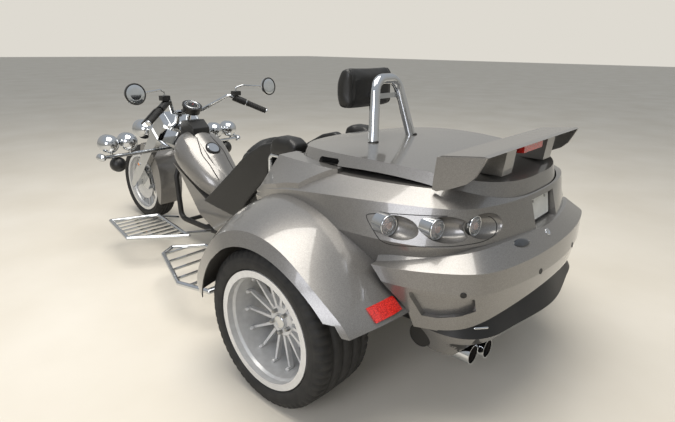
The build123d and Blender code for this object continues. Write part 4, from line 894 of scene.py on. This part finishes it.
# Handlebar grips: ribbed rubber over the bar ends, each with a chromed end plug.
# The ribs run round the grip; the sleeve is pushed over the bar.
bar_bend = Vector((234, -1655, 1051))
bar_end = Vector((459, -1520, 936))
grip_share, grip_ribs = 0.50, 9
for side, way in both_sides:
    start = bar_bend + (bar_end - bar_bend) * grip_share
    length = (bar_end - bar_bend).length * grip_share / 1000
    along = bar_end - bar_bend
    along = Vector((way * along.x, along.y, along.z)).normalized()
    base = at(way * start.x, start.y, start.z)
    rings = [(0.0, 0.0185), (0.001, 0.0225), (0.006, 0.0225), (0.007, 0.0190)]
    for step in range(grip_ribs):
        from_here = 0.012 + step * (length - 0.022) / grip_ribs
        rings += [(from_here, 0.0186), (from_here + 0.002, 0.0204), (from_here + 0.007, 0.0204),
                  (from_here + 0.009, 0.0186)]
    rings += [(length - 0.004, 0.0186), (length - 0.002, 0.0200)]
    keep(f"{side}_grip_rubber", lathe(rings, base, along), rubber, "steering")
    keep(f"{side}_grip_plug",
         lathe([(length - 0.003, 0.0190), (length + 0.008, 0.0188), (length + 0.011, 0.0160),
                (length + 0.012, 0.006)], base, along), chrome, "steering")

# Lid vents: black plastic louvres set into the side recesses of the trunk lid.
# A back plate with four sloping slats, clipped in from inside.
# columns: y, height in millimetres round the back plate
vent_outline = ((-82, 926), (-82, 943), (-73, 950), (25, 956), (34, 949), (34, 930))
plate_inner, plate_outer = 437, 440
slat_count, slat_pitch = 4, 6
for side, way in both_sides:
    made = bmesh.new()
    rings = [[made.verts.new(at(way * x, y, z)) for y, z in vent_outline] for x in (plate_inner, plate_outer)]
    for i in range(len(vent_outline)):
        k = (i + 1) % len(vent_outline)
        made.faces.new((rings[0][i], rings[0][k], rings[1][k], rings[1][i]))
    made.faces.new(rings[0][::-1])
    made.faces.new(rings[1])
    for row in range(slat_count):
        low_z = 929 + row * slat_pitch
        spots = [made.verts.new(at(way * x, y, z + (y + 80) * 0.045))
                 for x, z in ((439, low_z), (449, low_z - 1.5), (449, low_z), (439, low_z + 1.8))
                 for y in (-78, 30)]
        for i in range(4):
            k = (i + 1) % 4
            made.faces.new((spots[2 * i], spots[2 * i + 1], spots[2 * k + 1], spots[2 * k]))
        made.faces.new([spots[i] for i in (0, 2, 4, 6)])
        made.faces.new([spots[i] for i in (7, 5, 3, 1)])
    bmesh.ops.recalc_face_normals(made, faces=made.faces)
    keep(f"{side}_vent_louvres", made, plastic, "trunk_lid_body", smooth=False)

# Hoop feet: black rubber grommets where the chromed hoop enters the lid.
# Each is a ring squeezed between tube and paint.
lid_skin = skin("trunk_lid")
for side, way in both_sides:
    hit = lid_skin.ray_cast(at(way * 158, -34, 1100), Vector((0, 0, -1)))
    if hit[0] is not None:
        keep(f"{side}_hoop_grommet",
             lathe([(-0.002, 0.0250), (0.003, 0.0245), (0.006, 0.0215), (0.007, 0.0178), (0.006, 0.0165)],
                   hit[0], (way * 0.05, -0.1, 1)), rubber, "trunk_lid_body")

# Fork reflectors: a round amber reflector screwed to the outside of each fork leg.
# Moulded prisms behind a flat face, in a thin chromed cup.
fork_skin = skin("fork_legs")
for side, way in both_sides:
    spot, normal = fork_skin.find_nearest(at(way * 150, -2368, 491))[:2]
    keep(f"{side}_fork_reflector_cup",
         lathe([(-0.001, 0.0165), (0.0045, 0.0165), (0.0052, 0.0145), (0.0042, 0.0140)], spot, normal, 32),
         chrome, "steering")
    keep(f"{side}_fork_reflector",
         lathe([(0.0005, 0.0142), (0.0046, 0.0140), (0.0052, 0.0110), (0.0054, 0.002)], spot, normal, 32),
         amber, "steering")

# Diffuser trims: a short polished bar at each end of the blade's black slope.
# Solid rod with rounded ends, held by two studs from below.
diffuser_skin = skin("rear_diffuser")
for side, way in both_sides:
    spot, normal = diffuser_skin.find_nearest(at(way * 444, 695, 448))[:2]
    along = Vector((-0.80 * way, 0.59, -0.05)).normalized()
    keep(f"{side}_diffuser_bar",
         lathe([(-0.028, 0.0020), (-0.027, 0.0042), (-0.024, 0.0050), (0.024, 0.0050), (0.027, 0.0042),
                (0.028, 0.0020)], spot + normal * 0.003, along, 16), chrome, "chassis")


# The finished piece's sizes.
low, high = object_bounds()
